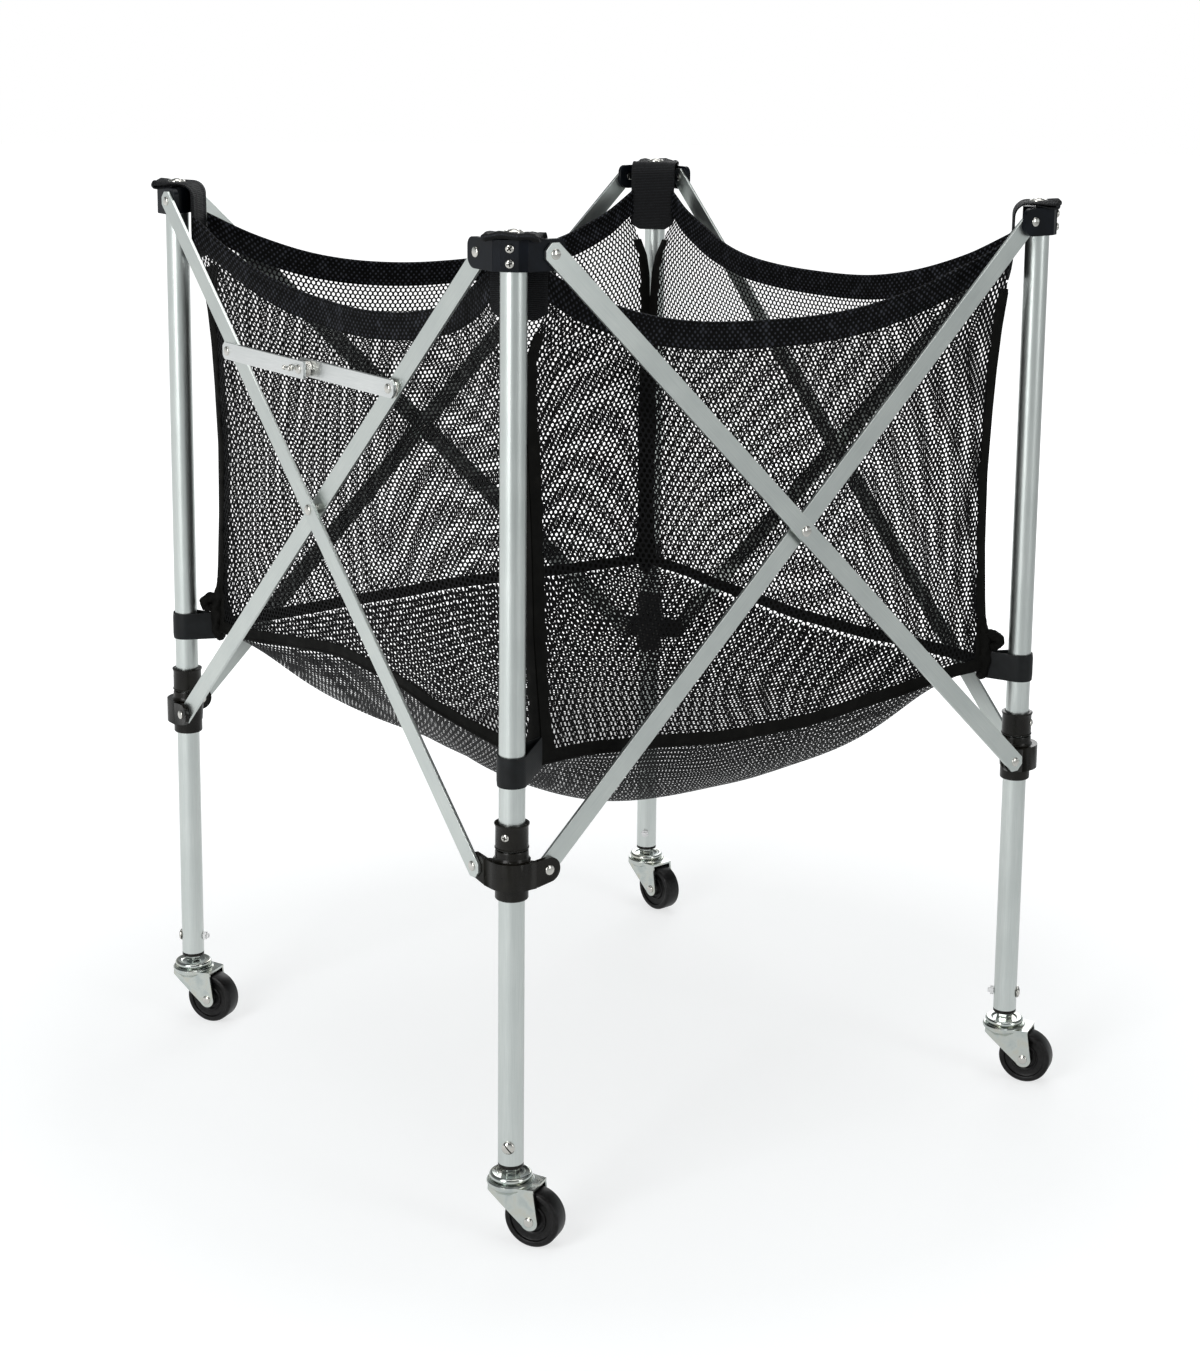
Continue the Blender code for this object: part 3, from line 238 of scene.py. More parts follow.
scene = bpy.context.scene
scene.view_settings.view_transform = "Standard"
scene.world = scene.world or bpy.data.worlds.new("studio")
scene.world.use_nodes = True
sky = scene.world.node_tree
sky.nodes.clear()
rise = add_node(sky, "SeparateXYZ", {0: add_node(sky, "TexCoord").outputs["Generated"]}).outputs["Z"]
room = add_node(sky, "Background", {"Color": colour("#B4B8B9"),
                                    "Strength": spread(sky, rise, ROOM_LOW, ROOM_HIGH, ROOM_FROM, ROOM_TO)})
paper = add_node(sky, "Background", {"Color": colour("#FFFFFF"), "Strength": 1.0})
mix = add_node(sky, "MixShader", {0: add_node(sky, "LightPath").outputs["Is Camera Ray"], 1: room.outputs[0],
                                  2: paper.outputs[0]})
add_node(sky, "OutputWorld", {"Surface": mix.outputs[0]})

for name, place, aim, width, height, power in (
        ("softbox_left", (-3.0, -0.9, 1.9), CART_MIDDLE, 1.2, 2.6, 58),
        ("softbox_right", (0.9, -3.2, 1.7), CART_MIDDLE, 1.0, 2.4, 22),
        ("softbox_top", (0.3, 0.2, 3.4), CART_MIDDLE, 2.6, 2.6, 40),
        ("softbox_back", (2.6, 2.4, 1.8), CART_MIDDLE, 1.6, 2.2, 26),
        ("strip_left", (-2.95, -1.45, 0.80), (0, 0, 0.80), 0.55, 1.5, 5)):
    lamp = bpy.data.lights.new(name, "AREA")
    lamp.shape, lamp.size, lamp.size_y, lamp.energy = "RECTANGLE", width, height, power
    light = bpy.data.objects.new(name, lamp)
    scene.collection.objects.link(light)
    light.location = place
    light.rotation_euler = (Vector(aim) - Vector(place)).to_track_quat("-Z", "Y").to_euler()
    light.visible_camera = False
print("lights", len(bpy.data.lights))

# %% [markdown]
# Pieces are modelled with the operators that the menus call. Everything is deselected before each step,
# because the imported frame is still selected and an operator acts on all that is.

# %% Modelling helpers
def only(piece):
    """Makes one piece the selected and active one."""
    bpy.ops.object.select_all(action="DESELECT")
    piece.select_set(True)
    bpy.context.view_layer.objects.active = piece


def start(add, **settings):
    """Adds a primitive by its operator, alone in the selection."""
    bpy.ops.object.select_all(action="DESELECT")
    add(**settings)
    bpy.ops.object.transform_apply(location=True, rotation=True, scale=True)
    return bpy.context.object


def open_mesh(piece, part="FACE", action="DESELECT"):
    """Edit mode on one piece, with nothing or all of it selected."""
    only(piece)
    bpy.ops.object.mode_set(mode="EDIT")
    bpy.ops.mesh.select_mode(type=part)
    bpy.ops.mesh.select_all(action=action)


def pick(piece, parts, test):
    """Selects the faces or edges that pass a test."""
    work = bmesh.from_edit_mesh(piece.data)
    for item in getattr(work, parts):
        if test(item):
            item.select_set(True)
    bmesh.update_edit_mesh(piece.data)


def close_mesh():
    bpy.ops.object.mode_set(mode="OBJECT")


def face_out(piece):
    """Merges doubles and turns every face outwards."""
    open_mesh(piece, action="SELECT")
    bpy.ops.mesh.remove_doubles(threshold=1e-6)
    bpy.ops.mesh.normals_make_consistent(inside=False)
    close_mesh()
    return piece


def apply_modifiers(piece):
    only(piece)
    for modifier in list(piece.modifiers):
        bpy.ops.object.modifier_apply(modifier=modifier.name)
    return piece


def smooth(piece, angle=38):
    only(piece)
    bpy.ops.object.shade_smooth_by_angle(angle=math.radians(angle))
    return piece


def soften(piece, width, segments=2, angle=30):
    """Rounds the edges with a Bevel modifier and keeps the large faces flat to the eye."""
    step = piece.modifiers.new("bevel", "BEVEL")
    step.width, step.segments, step.angle_limit = width, segments, math.radians(angle)
    step.limit_method = "ANGLE"
    smooth(apply_modifiers(piece))
    flats = piece.modifiers.new("flats", "WEIGHTED_NORMAL")
    flats.weight, flats.keep_sharp = 100, True
    return apply_modifiers(piece)


def retire(*masters):
    for master in masters:
        bpy.data.objects.remove(master, do_unlink=True)


def combine(piece, operation, *others):
    """Joins or cuts with Boolean modifiers, and removes what was used."""
    for other in others:
        step = piece.modifiers.new(operation.lower(), "BOOLEAN")
        step.operation, step.object, step.solver = operation, other, "EXACT"
    apply_modifiers(piece)
    retire(*others)
    return piece


def join(*pieces):
    """One object of several, which stay separate solids inside it."""
    only(pieces[0])
    for piece in pieces[1:]:
        piece.select_set(True)
    bpy.ops.object.join()
    return pieces[0]


def turned_to(axis, place=(0, 0, 0)):
    """Takes a shape modelled round +Z to an axis through a place."""
    turn = UP.rotation_difference(Vector(axis)).to_matrix().to_4x4()
    return Matrix.Translation(place) @ turn


def facing(x, depth, z):
    """Takes a shape modelled round +Z to a point of a face, turned to look out of it."""
    return turned_to((0, -1, 0), (x, -depth, z))


def moved(piece, place):
    piece.data.transform(place)
    return piece


def paint(piece, *materials):
    """Gives a piece its materials, the first one to all faces that have none."""
    for material in materials:
        piece.data.materials.append(material)
    return piece


# %% [markdown]
# Most of the hardware is round. A lathe does it: the outline of one side is drawn as an edge loop and spun
# about Z. A flat part is its outline filled and extruded, as a punch cuts it from sheet. Outlines are written
# in millimetres.

# %% Lathe and plate
def mm(rows, base=0.0):
    """Rows of millimetres as metres. The last number of a row is counted from a base."""
    return [(*[value / 1000 for value in row[:-1]], base + row[-1] / 1000) for row in rows]


def lathe(profile, steps=40, ring=False):
    """A turned shape from (radius, height) points. A ring's profile closes on itself away from the axis."""
    piece = start(bpy.ops.mesh.primitive_circle_add, vertices=len(profile), radius=1, fill_type="NOTHING")
    for vertex, (radius, height) in zip(piece.data.vertices, profile):
        vertex.co = (radius, 0, height)
    open_mesh(piece, "EDGE")
    if not ring:
        ends = {0, len(profile) - 1}
        pick(piece, "edges", lambda edge: {vertex.index for vertex in edge.verts} == ends)
        bpy.ops.mesh.delete(type="EDGE_FACE")
    bpy.ops.mesh.select_all(action="SELECT")
    bpy.ops.mesh.spin(steps=steps, angle=2 * math.pi, center=(0, 0, 0), axis=(0, 0, 1))
    close_mesh()
    return smooth(face_out(piece))


def plate(outline, thick, place):
    """A flat outline with thickness about its own middle plane, then put in place."""
    piece = start(bpy.ops.mesh.primitive_circle_add, vertices=len(outline), radius=1, fill_type="NGON")
    for vertex, (x, y) in zip(piece.data.vertices, outline):
        vertex.co = (x, y, -thick / 2)
    open_mesh(piece, action="SELECT")
    bpy.ops.mesh.extrude_region_move(TRANSFORM_OT_translate={"value": (0, 0, thick)})
    close_mesh()
    return moved(face_out(piece), place)


def arc(centre, radius, start_angle, end_angle, count):
    """Points along an arc, in degrees."""
    angles = [math.radians(start_angle + (end_angle - start_angle) * i / count) for i in range(count + 1)]
    return [(centre[0] + radius * math.cos(angle), centre[1] + radius * math.sin(angle)) for angle in angles]


def rod(radius, begin, end, steps=32):
    """A plain pin between two points."""
    begin, end = Vector(begin), Vector(end)
    span = end - begin
    piece = start(bpy.ops.mesh.primitive_cylinder_add, vertices=steps, radius=radius, depth=span.length)
    return moved(piece, turned_to(span.normalized(), (begin + end) / 2))


# %% [markdown]
# A finished piece's object stays at the origin and its place is in its mesh. Each copy gets its own mesh,
# rides on its body, and hides the frame piece that it stands for.

# %% Placing helpers
MADE = []


def settle(master, name, place, body, slot, *nodes):
    """Puts a copy of a master piece on the cart."""
    piece = bpy.data.objects.new(name, master.data.copy())
    scene.collection.objects.link(piece)
    piece.data.transform(place)
    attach(piece, body)
    if nodes:
        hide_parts(*nodes)
    MADE.append(piece)
    return piece


def at_corners(master, piece, slot, *nodes, names=POSTS, body="{}_post"):
    """A copy of a master at each corner, with the corner's name in place of {}. The master goes."""
    for name, place in zip(names, CORNERS):
        settle(master, piece.format(name), place, body.format(name), slot, *[node.format(name) for node in nodes])
    retire(master)


# %% [markdown]
# The posts and bars are clear anodised aluminium. Anodising leaves a fine satin skin, cooler and greener than
# bare metal, and extrusion leaves faint lines along the length. The lines are noise that is stretched along
# each piece, and they change the roughness more than the colour.

# %% Aluminium
def aluminium(name, space, squeeze, dark_tone, tone):
    # A satin skin over metal: broad soft highlights, and lines only where light grazes.
    def patterns(tree, place):
        along = add_node(tree, "Mapping", {"Vector": place, "Scale": squeeze}).outputs[0]
        lines = noise(tree, along, 0.9)
        mixed = times(tree, lines, noise(tree, place, 60, 4.0))
        return mixed, mixed, lines

    return finish(name, space, patterns, ((0.12, dark_tone), (0.42, tone)), (0.30, 0.42), (0.004, 0.3), Metallic=1.0)


TUBE_METAL = aluminium("anodised_aluminium_tube", "Object", (1.0, 1.0, 0.03), "#D2D8D5", "#DEE3E0")
BAR_METAL = aluminium("anodised_aluminium_bar", "along", (0.03, 1.0, 1.0), "#CED4D1", "#DBE0DC")
STRUT_METAL = aluminium("bright_rolled_aluminium", "along", (0.03, 1.0, 1.0), "#E4E7E6", "#F2F4F3")

# %% [markdown]
# A post is a drawn tube, open below for the caster's plug, with a cross hole for its bolt. It starts as a
# cylinder whose two ends are deleted, and the wall is given inwards, so that the outside keeps its size.

# %% Posts
TUBE_RADIUS, TUBE_WALL = 0.011, 0.0015
BOLT_HEIGHT, BOLT_RADIUS, BOLT_SLACK = 0.087, 0.0023, 0.0004

low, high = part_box("post_front")
post = start(bpy.ops.mesh.primitive_cylinder_add, vertices=64, radius=TUBE_RADIUS, depth=high.z - low.z,
             location=(0, 0, (low.z + high.z) / 2))
open_mesh(post)
pick(post, "faces", lambda face: abs(face.normal.z) > 0.9)
bpy.ops.mesh.delete(type="ONLY_FACE")
close_mesh()
wall = post.modifiers.new("wall", "SOLIDIFY")
wall.thickness, wall.offset = TUBE_WALL, -1
apply_modifiers(post)
hole = rod(BOLT_RADIUS + BOLT_SLACK, on_corner(2 * TUBE_RADIUS, BOLT_HEIGHT), on_corner(-2 * TUBE_RADIUS, BOLT_HEIGHT))
combine(post, "DIFFERENCE", hole)
paint(soften(post, 0.00025, 1, 50), TUBE_METAL)
at_corners(post, "post_tube_{}", "aluminium", "post_{}")
print("post faces", len(MADE[-1].data.polygons))

# %% [markdown]
# Each side has two flat bars, 18 mm wide and 3 mm thick, with clipped corners. A bar is a plate whose edges get a
# narrow bevel, which is what draws the bright line along a real bar's edge. Its finish follows its length, so a
# UV map is laid along it before it is turned into place.

# %% Bars
TOP_PIVOT, LOW_PIVOT = 0.840, 0.330
EAR_REACH, EAR_FACE, EAR_BACK = 0.024, 0.0205, 0.0159
FIT = 0.0003
BAR_WIDTH, BAR_THICK, BAR_CLIP = 0.018, 0.003, 0.005
OUTER_BACK = EAR_FACE + FIT
OUTER_FACE = OUTER_BACK + BAR_THICK
INNER_FACE = EAR_BACK - FIT
INNER_BACK = INNER_FACE - BAR_THICK
CROSSING = (PITCH / 2, (TOP_PIVOT + LOW_PIVOT) / 2)


def flat_bar(begin, end, back, width, thick, reaches, clips, material):
    """A flat bar past two pivots, laid along X with its UV map, then turned into the face."""
    begin, end = Vector(begin), Vector(end)
    span, half = end - begin, width / 2
    near, far = -reaches[0], span.length + reaches[1]
    clip, end_clip = clips
    tip = [(far, -half), (far, half)]
    if end_clip:
        tip = [(far - end_clip, -half), (far, -half + end_clip), (far, half - end_clip), (far - end_clip, half)]
    outline = [(near + clip, -half), *tip, (near + clip, half), (near, half - clip), (near, -half + clip)]
    bar = soften(plate(outline, thick, Matrix.Identity(4)), 0.0004)
    layer = bar.data.uv_layers.new(name="along")
    for loop in bar.data.loops:
        point = bar.data.vertices[loop.vertex_index].co
        layer.data[loop.index].uv = (point.x, point.y + point.z)
    lean = Matrix.Rotation(math.atan2(span.y, span.x), 4, "Z")
    shift = Matrix.Translation((begin.x, begin.y, 0))
    return paint(moved(bar, in_face(back + thick / 2) @ shift @ lean), material)


for kind, left_pivot, right_pivot, back in (("outer", TOP_PIVOT, LOW_PIVOT, OUTER_BACK),
                                            ("inner", LOW_PIVOT, TOP_PIVOT, INNER_BACK)):
    bar = flat_bar((EAR_REACH, left_pivot), (PITCH - EAR_REACH, right_pivot), back, BAR_WIDTH, BAR_THICK,
                   (BAR_WIDTH / 2, BAR_WIDTH / 2), (BAR_CLIP, BAR_CLIP), BAR_METAL)
    at_corners(bar, kind + "_bar_{}", "aluminium", kind + "_brace_{}", names=FACES, body=kind + "_{}")

# %% [markdown]
# Rivets, screws and eyelets are polished stainless steel and nickel plate: nearly mirror smooth, so their small
# domes pick up the softboxes as bright dots with a dark rim. A little uneven roughness stops them from looking
# like glass beads.

# %% Polished steel
def one_noise(size_mm, detail=3.0, **more):
    """One noise for colour, roughness and relief alike."""
    return lambda tree, place: [noise(tree, place, size_mm, detail, **more)] * 3


# Smooth domes: hard bright dots of the lamps, dark where they face the room.
POLISHED = finish("polished_stainless_steel", "Object", one_noise(1.6), (), (0.07, 0.20), (0.02, 0.2),
                  Metallic=1.0, Base_Color=colour("#D6D4CE"))
# The floor and walls of a slot: rougher steel whose dark colour is painted shade, so the slot shows its shape.
SLOT_SHADE = finish("steel_with_painted_slot_shade", "Object", one_noise(0.6), ((0.35, "#1D1D1C"), (0.7, "#3B3A37")), (0.5, 0.75),
                Metallic=1.0)

# %% [markdown]
# A rivet is one lathe turn: a low domed head with a rounded rim, a shank, and a flat tail. Along a bar the
# three rivets differ only in how deep they reach.

# %% Rivets
RIVET_RADIUS = 0.0022


def dome(radius, height, steps=6):
    """Profile of a domed head from its top to its rim, with a small rounded foot."""
    foot = height * 0.18
    points = [(radius * math.sin(math.pi / 2 * i / steps),
               foot + (height - foot) * math.cos(math.pi / 2 * i / steps)) for i in range(steps + 1)]
    return points + [(radius * 0.985, 0.0)]


def rivet(x, z, head_face, tail_face, head_radius=0.0044, head_height=0.002):
    """A rivet through a face: head outside, tail inside."""
    tail = mm([(2.2, 0), (4, 0), (4, -0.9), (3.6, -1.2), (0, -1.2)], tail_face - head_face)
    profile = dome(head_radius, head_height) + [(RIVET_RADIUS, 0.0), *tail]
    return moved(lathe(profile, 28), facing(x, head_face, z))


def washer(x, z, front, back, radius, bore, edge=0.0003):
    """A flat ring between two depths, with broken edges."""
    profile = [(bore, front), (radius - edge, front), (radius, front - edge), (radius, back + edge),
               (radius - edge, back), (bore, back)]
    return moved(lathe(profile, 32, ring=True), facing(x, 0, z))


outer_rivets = join(rivet(EAR_REACH, TOP_PIVOT, OUTER_FACE, EAR_BACK - FIT),
                    rivet(PITCH - EAR_REACH, LOW_PIVOT, OUTER_FACE, EAR_BACK - FIT),
                    rivet(*CROSSING, OUTER_FACE, INNER_BACK - FIT, 0.0050, 0.0023),
                    washer(*CROSSING, OUTER_BACK - FIT / 3, INNER_FACE + FIT / 3, 0.005, RIVET_RADIUS))
inner_rivets = join(rivet(PITCH - EAR_REACH, TOP_PIVOT, EAR_FACE, INNER_BACK),
                    rivet(EAR_REACH, LOW_PIVOT, EAR_FACE, INNER_BACK))
for kind, rivets in (("outer", outer_rivets), ("inner", inner_rivets)):
    at_corners(paint(rivets, POLISHED), kind + "_rivets_{}", "zinc_steel", names=FACES, body=kind + "_{}")
print("pieces so far", len(MADE))

# %% [markdown]
# Brackets and collars are moulded nylon filled with glass. Such a moulding is near black with a satin skin, a
# very fine grain from the mould, and slightly greyer edges where it is handled. The grain is drawn at 0.5 mm,
# coarser than the real one, because the true grain wouldn't show.

# %% Moulded nylon
def moulded_nylon(name, tone, worn_tone, roughness, shine):
    # Satin black plastic: soft wide highlights that break up slightly in the grain.
    def patterns(tree, place):
        clouds = noise(tree, place, 14, 5.0, Roughness=0.6)
        return clouds, clouds, noise(tree, place, 0.5, 2.0)

    return finish(name, "Object", patterns, ((0.35, tone), (0.75, worn_tone)), roughness, (0.03, 0.35),
                  IOR=1.53, Specular_IOR_Level=shine)


BRACKET_NYLON = moulded_nylon("moulded_nylon_bracket", "#05080D", "#0D121A", (0.24, 0.40), 0.15)
COLLAR_NYLON = moulded_nylon("moulded_nylon_collar", "#0C0A06", "#16140E", (0.20, 0.36), 0.26)

# %% [markdown]
# The top bracket is a cap over the post with two ears at a right angle and a flat pad on the corner for two
# screws. Seen from above it is one plan outline, so a plate gives the body, two more plates give the ears, and
# Booleans join them and bore the socket. The bevel comes last, because it rounds the joins as well.

# %% Top brackets
BRACKET_LOW, BRACKET_TOP = TOP_PIVOT - 0.0133, TOP_PIVOT + 0.012
BRACKET_MIDDLE = (BRACKET_LOW + BRACKET_TOP) / 2
PAD_DISTANCE, PAD_HALF = 0.0172, 0.0072
LUG_END, LUG_LOW_ROUND, LUG_TOP_ROUND = EAR_REACH + 0.0118, 0.0100, 0.0072
SOCKET_RADIUS, SOCKET_CAP = 0.0142, 0.003
BORE = TUBE_RADIUS + FIT
BODY_END = 0.011
INSIDE = [(-EAR_BACK, BODY_END), (BODY_END, -EAR_BACK)]
SWAP_XY = Matrix(((0, 1, 0, 0), (1, 0, 0, 0), (0, 0, 1, 0), (0, 0, 0, 1)))


def moulding(outline, low, top, lug, core, bore, edge, edge_angle):
    """A body of one plan outline with an ear in each of its two faces and a core, bored for the post."""
    thick = EAR_FACE - EAR_BACK
    body = plate(outline, top - low, Matrix.Translation(UP * ((low + top) / 2)))
    ears = [plate(lug, thick, in_face(EAR_FACE - thick / 2)) for _ in range(2)]
    face_out(moved(ears[1], SWAP_XY))
    combine(body, "UNION", *ears, core)
    combine(body, "DIFFERENCE", bore)
    return soften(face_out(body), edge, 3, edge_angle)


side = [(BODY_END, -EAR_FACE), (0.0005, -EAR_FACE), on_diagonal(-PAD_DISTANCE + 0.0006, PAD_HALF + 0.0004)]
pad = [on_diagonal(-PAD_DISTANCE, PAD_HALF), on_diagonal(-PAD_DISTANCE, -PAD_HALF)]
lug = [(0, BRACKET_LOW)]
lug += arc((LUG_END - LUG_LOW_ROUND, BRACKET_LOW + LUG_LOW_ROUND), LUG_LOW_ROUND, -90, 0, 9)
lug += arc((LUG_END - LUG_TOP_ROUND, BRACKET_TOP - LUG_TOP_ROUND), LUG_TOP_ROUND, 0, 90, 7) + [(0, BRACKET_TOP)]
socket = rod(SOCKET_RADIUS, UP * (BRACKET_LOW + FIT), UP * (BRACKET_TOP - FIT), 48)
bore = rod(BORE, UP * (BRACKET_LOW - 0.01), UP * (BRACKET_TOP - SOCKET_CAP), 48)
bracket = moulding(side + pad + [(y, x) for x, y in reversed(side)] + INSIDE, BRACKET_LOW, BRACKET_TOP, lug, socket,
                   bore, 0.0008, 28)
at_corners(paint(bracket, BRACKET_NYLON), "bracket_{}", "black_plastic", "top_bracket_{}")

# %% [markdown]
# A cross-recess screw is a turned pan head with two crossed slots cut into it. A slotted bolt is the same head
# with one slot. The slots are what make such a small bright dot read as a screw.

# %% Screws
def pan_head(radius, height, slots, slot_width, slot_depth, place, axis, turn=0.0):
    """A domed head with slots, its seat on a face. It reaches a little into what carries it."""
    head = lathe(dome(radius, height) + [(radius * 0.5, 0.0), (radius * 0.5, -0.0008), (0.0, -0.0008)], 32)
    cutters = []
    for i in range(slots):
        length = radius * (2.4 if slots == 1 else 1.25)
        size = Matrix.Diagonal((length, slot_width, slot_depth * 2, 1))
        spin = Matrix.Rotation(turn + i * math.pi / slots, 4, "Z")
        slot = start(bpy.ops.mesh.primitive_cube_add, size=1)
        cutters.append(moved(slot, Matrix.Translation(UP * height) @ spin @ size))
    combine(head, "DIFFERENCE", *cutters)
    paint(smooth(face_out(head), 40), POLISHED, SLOT_SHADE)
    # The slot's faces take the second material, whose dark colour is painted shade.
    for face in head.data.polygons:
        steep, middle_way = abs(face.normal.z) < 0.1, face.center.xy.length < radius * 0.85
        deep = face.normal.z > 0.99 and face.center.z < height - 0.6 * slot_depth
        face.material_index = int(face.center.z > 0 and middle_way and (steep or deep))
    return moved(head, turned_to(axis, place))


screws = join(*[pan_head(0.0037, 0.0022, 2, 0.0011, 0.0012, on_corner(-PAD_DISTANCE, BRACKET_MIDDLE + side * 0.006),
                         OUTWARD, 0.5 + side) for side in (-1, 1)])
at_corners(screws, "bracket_screws_{}", "zinc_steel")

# %% [markdown]
# The stop ring is a short sleeve with a flared lip above and a fine bead below, held by one screw. The collar
# under it slides on the post: a neck, a round body, and two winged ears that carry the lower rivets.

# %% Stop rings
STOP_LOW, STOP_RADIUS, STOP_SCREW_Z = 0.3485, 0.014, 0.3605
STOP_SCREW_TURN = math.radians(-148)

stop_ring = lathe(mm([(11.3, 0), (13.8, 0), (14.4, 0.4), (14.4, 1.2), (13.9, 1.7), (13.8, 18.6), (14.2, 19.6),
                      (14.8, 21.0), (14.7, 21.7), (14.1, 22.0), (11.9, 22.0), (11.3, 21.4)], STOP_LOW), 56, ring=True)
outward = Vector((math.cos(STOP_SCREW_TURN), math.sin(STOP_SCREW_TURN), 0))
stop_screw = pan_head(0.0034, 0.0018, 2, 0.0010, 0.0010, outward * (STOP_RADIUS - 0.0004) + UP * STOP_SCREW_Z,
                      outward, 0.4)
at_corners(paint(stop_ring, COLLAR_NYLON), "stop_sleeve_{}", "black_plastic", "stop_ring_{}")
at_corners(stop_screw, "stop_screw_{}", "zinc_steel")

# %% Sliding collars
COLLAR_LOW, COLLAR_TOP = LOW_PIVOT - 0.0135, LOW_PIVOT + 0.0095
COLLAR_EAR_RADIUS = 0.0108

outline = [(BODY_END, -EAR_FACE), *arc((0, 0), EAR_FACE, -90, -180, 16), (-EAR_FACE, BODY_END), *INSIDE]
lug = mm([(4, -13.5), (13, -12.9)], LOW_PIVOT) + arc((EAR_REACH, LOW_PIVOT), COLLAR_EAR_RADIUS, -72, 78, 14)
lug += mm([(14, 9.6), (10, 8.9), (4, 9.5)], LOW_PIVOT)
neck = lathe(mm([(0, -25), (13.4, -25), (14, -24.2), (14, -13.7), (14.6, -12.5), (15.8, 9.1), (14.6, 10.5),
                 (14.1, 12.1), (14, 16.3), (13.4, 17.3), (12.8, 17.5), (0, 17.5)], LOW_PIVOT), 56)
bore = rod(BORE, UP * (LOW_PIVOT - 0.035), UP * (LOW_PIVOT + 0.0275), 56)
collar = moulding(outline, COLLAR_LOW, COLLAR_TOP, lug, neck, bore, 0.0011, 34)
at_corners(paint(collar, COLLAR_NYLON), "collar_{}", "black_plastic", "slide_collar_{}", body="collar_{}")
print("collar faces", len(MADE[-1].data.polygons))

# %% [markdown]
# The casters are pressed from zinc-plated steel. Zinc is a light, slightly green and yellow metal whose plating
# clouds over in soft patches, so the roughness and the colour drift together over a few millimetres.

# %% Zinc plate and wheel plastic
def zinc_clouds(tree, place):
    clouds = noise(tree, place, 11, Distortion=0.3)
    return clouds, clouds, noise(tree, place, 15, 0.5)


# Bright pressed steel: sharp glints on the folds, and wide soft waves of light and dark where the press left the
# flats a little uneven.
ZINC = finish("zinc_plated_steel", "Object", zinc_clouds, ((0.3, "#C2CAC8"), (0.5, "#D2D7D2"), (0.7, "#D3D3C8")),
              (0.12, 0.24), (0.55, 0.6), Metallic=1.0)
# Hard black plastic: a clear sheen on the tread, and fine scuffs that turn it grey where it rolls.
WHEEL_BLACK = finish("hard_wheel_nylon", "Object", one_noise(3, 8.0, Roughness=0.7),
                     ((0.45, "#090807"), (0.8, "#242325")), (0.22, 0.5), (0.05, 0.3), IOR=1.5,
                     Specular_IOR_Level=0.27)

# %% [markdown]
# Under each post sits a black plug ring, a hexagonal neck and a dished cup whose lip is rolled over the
# bearing. The neck starts as a six-sided cylinder. The cup is one turn, with the roll drawn as a short arc.

# %% Stems
TUBE_FOOT = 0.070
CROWN_Z, CROWN_THICK = 0.052, 0.0022
CUP_TOP = CROWN_Z + CROWN_THICK + FIT + 0.0068
NECK_LOW, NECK_TOP = CUP_TOP - 0.0024, TUBE_FOOT - 0.0036
BOLT_TURN = math.radians(84)

plug = lathe(mm([(0, -3.3), (10.6, -3.3), (11, -2.9), (11, -0.6), (10.8, -0.3), (9.2, -0.3), (9.2, 29), (8.6, 30),
                 (0, 30)], TUBE_FOOT), 48)
neck = start(bpy.ops.mesh.primitive_cylinder_add, vertices=6, radius=0.0078, depth=NECK_TOP - NECK_LOW,
             location=(0, 0, (NECK_TOP + NECK_LOW) / 2))
soften(neck, 0.0006)
cup = lathe(mm([(0, -2), (10.8, -1.9), (12, -1.5), (12.8, -0.6)], CUP_TOP)
            + arc((0.0160, CUP_TOP - 0.0026), 0.0024, 112, -62, 9)
            + mm([(15.4, 4.5), (15, 2.8), (4, 2.6), (4, -0.3), (6.6, -0.3), (6.8, -2), (6, -2.5), (0, -2.5)], CROWN_Z),
            56)
head = pan_head(0.0057, 0.0030, 1, 0.0011, 0.0015, on_corner(0.0002 - BORE, BOLT_HEIGHT), OUTWARD, BOLT_TURN)
shank = rod(BOLT_RADIUS, on_corner(0.001 - BORE, BOLT_HEIGHT), on_corner(BORE + 0.0058, BOLT_HEIGHT), 20)
nut = start(bpy.ops.mesh.primitive_cylinder_add, vertices=6, radius=0.0044, depth=0.0032)
moved(soften(nut, 0.0004), turned_to(OUTWARD, on_corner(BORE + 0.0017, BOLT_HEIGHT)))
bolt = join(head, soften(shank, 0.0003, 1), nut)
at_corners(paint(plug, COLLAR_NYLON), "caster_plug_{}", "black_plastic")
at_corners(paint(join(cup, neck), ZINC), "caster_cup_{}", "zinc_steel", "caster_stem_{}")
at_corners(bolt, "cross_bolt_{}", "zinc_steel")

# %% [markdown]
# The fork is one pressing: a crown plate with a raised dish round the kingpin, folded down into two legs that
# taper to the axle. It is built from flat plates for crown and legs and a turned skirt for the dish, joined,
# cut clear of the wheel, and bevelled, which gives the folds their round edges.

# %% Forks, axles and wheels
TRAIL, WHEEL_RADIUS = 0.023, 0.025
LEG_INSIDE, LEG_FOOT = 0.0117, 0.0078
CROWN_TAIL, CROWN_ROUND = 0.027, 0.0196
WHEEL_HALF, WHEEL_ROUND, WHEEL_GAP = 0.0095, 0.0030, 0.0014
KINGPIN_HOLE = AXLE_HEAD = 0.0043
ON_AXLE = turned_to((0, 1, 0), (TRAIL, 0, WHEEL_RADIUS))


def bend(first, control, last, count):
    """Points along a quadratic curve, without its first point."""
    shares = [(i + 1) / count for i in range(count)]
    return [tuple((1 - t) ** 2 * a + 2 * t * (1 - t) * b + t * t * c for a, b, c in zip(first, control, last))
            for t in shares]


def both_sides(profile, begin=0):
    """A profile and its mirror image in the middle plane."""
    return profile + [(radius, -height) for radius, height in reversed(profile[begin:])]


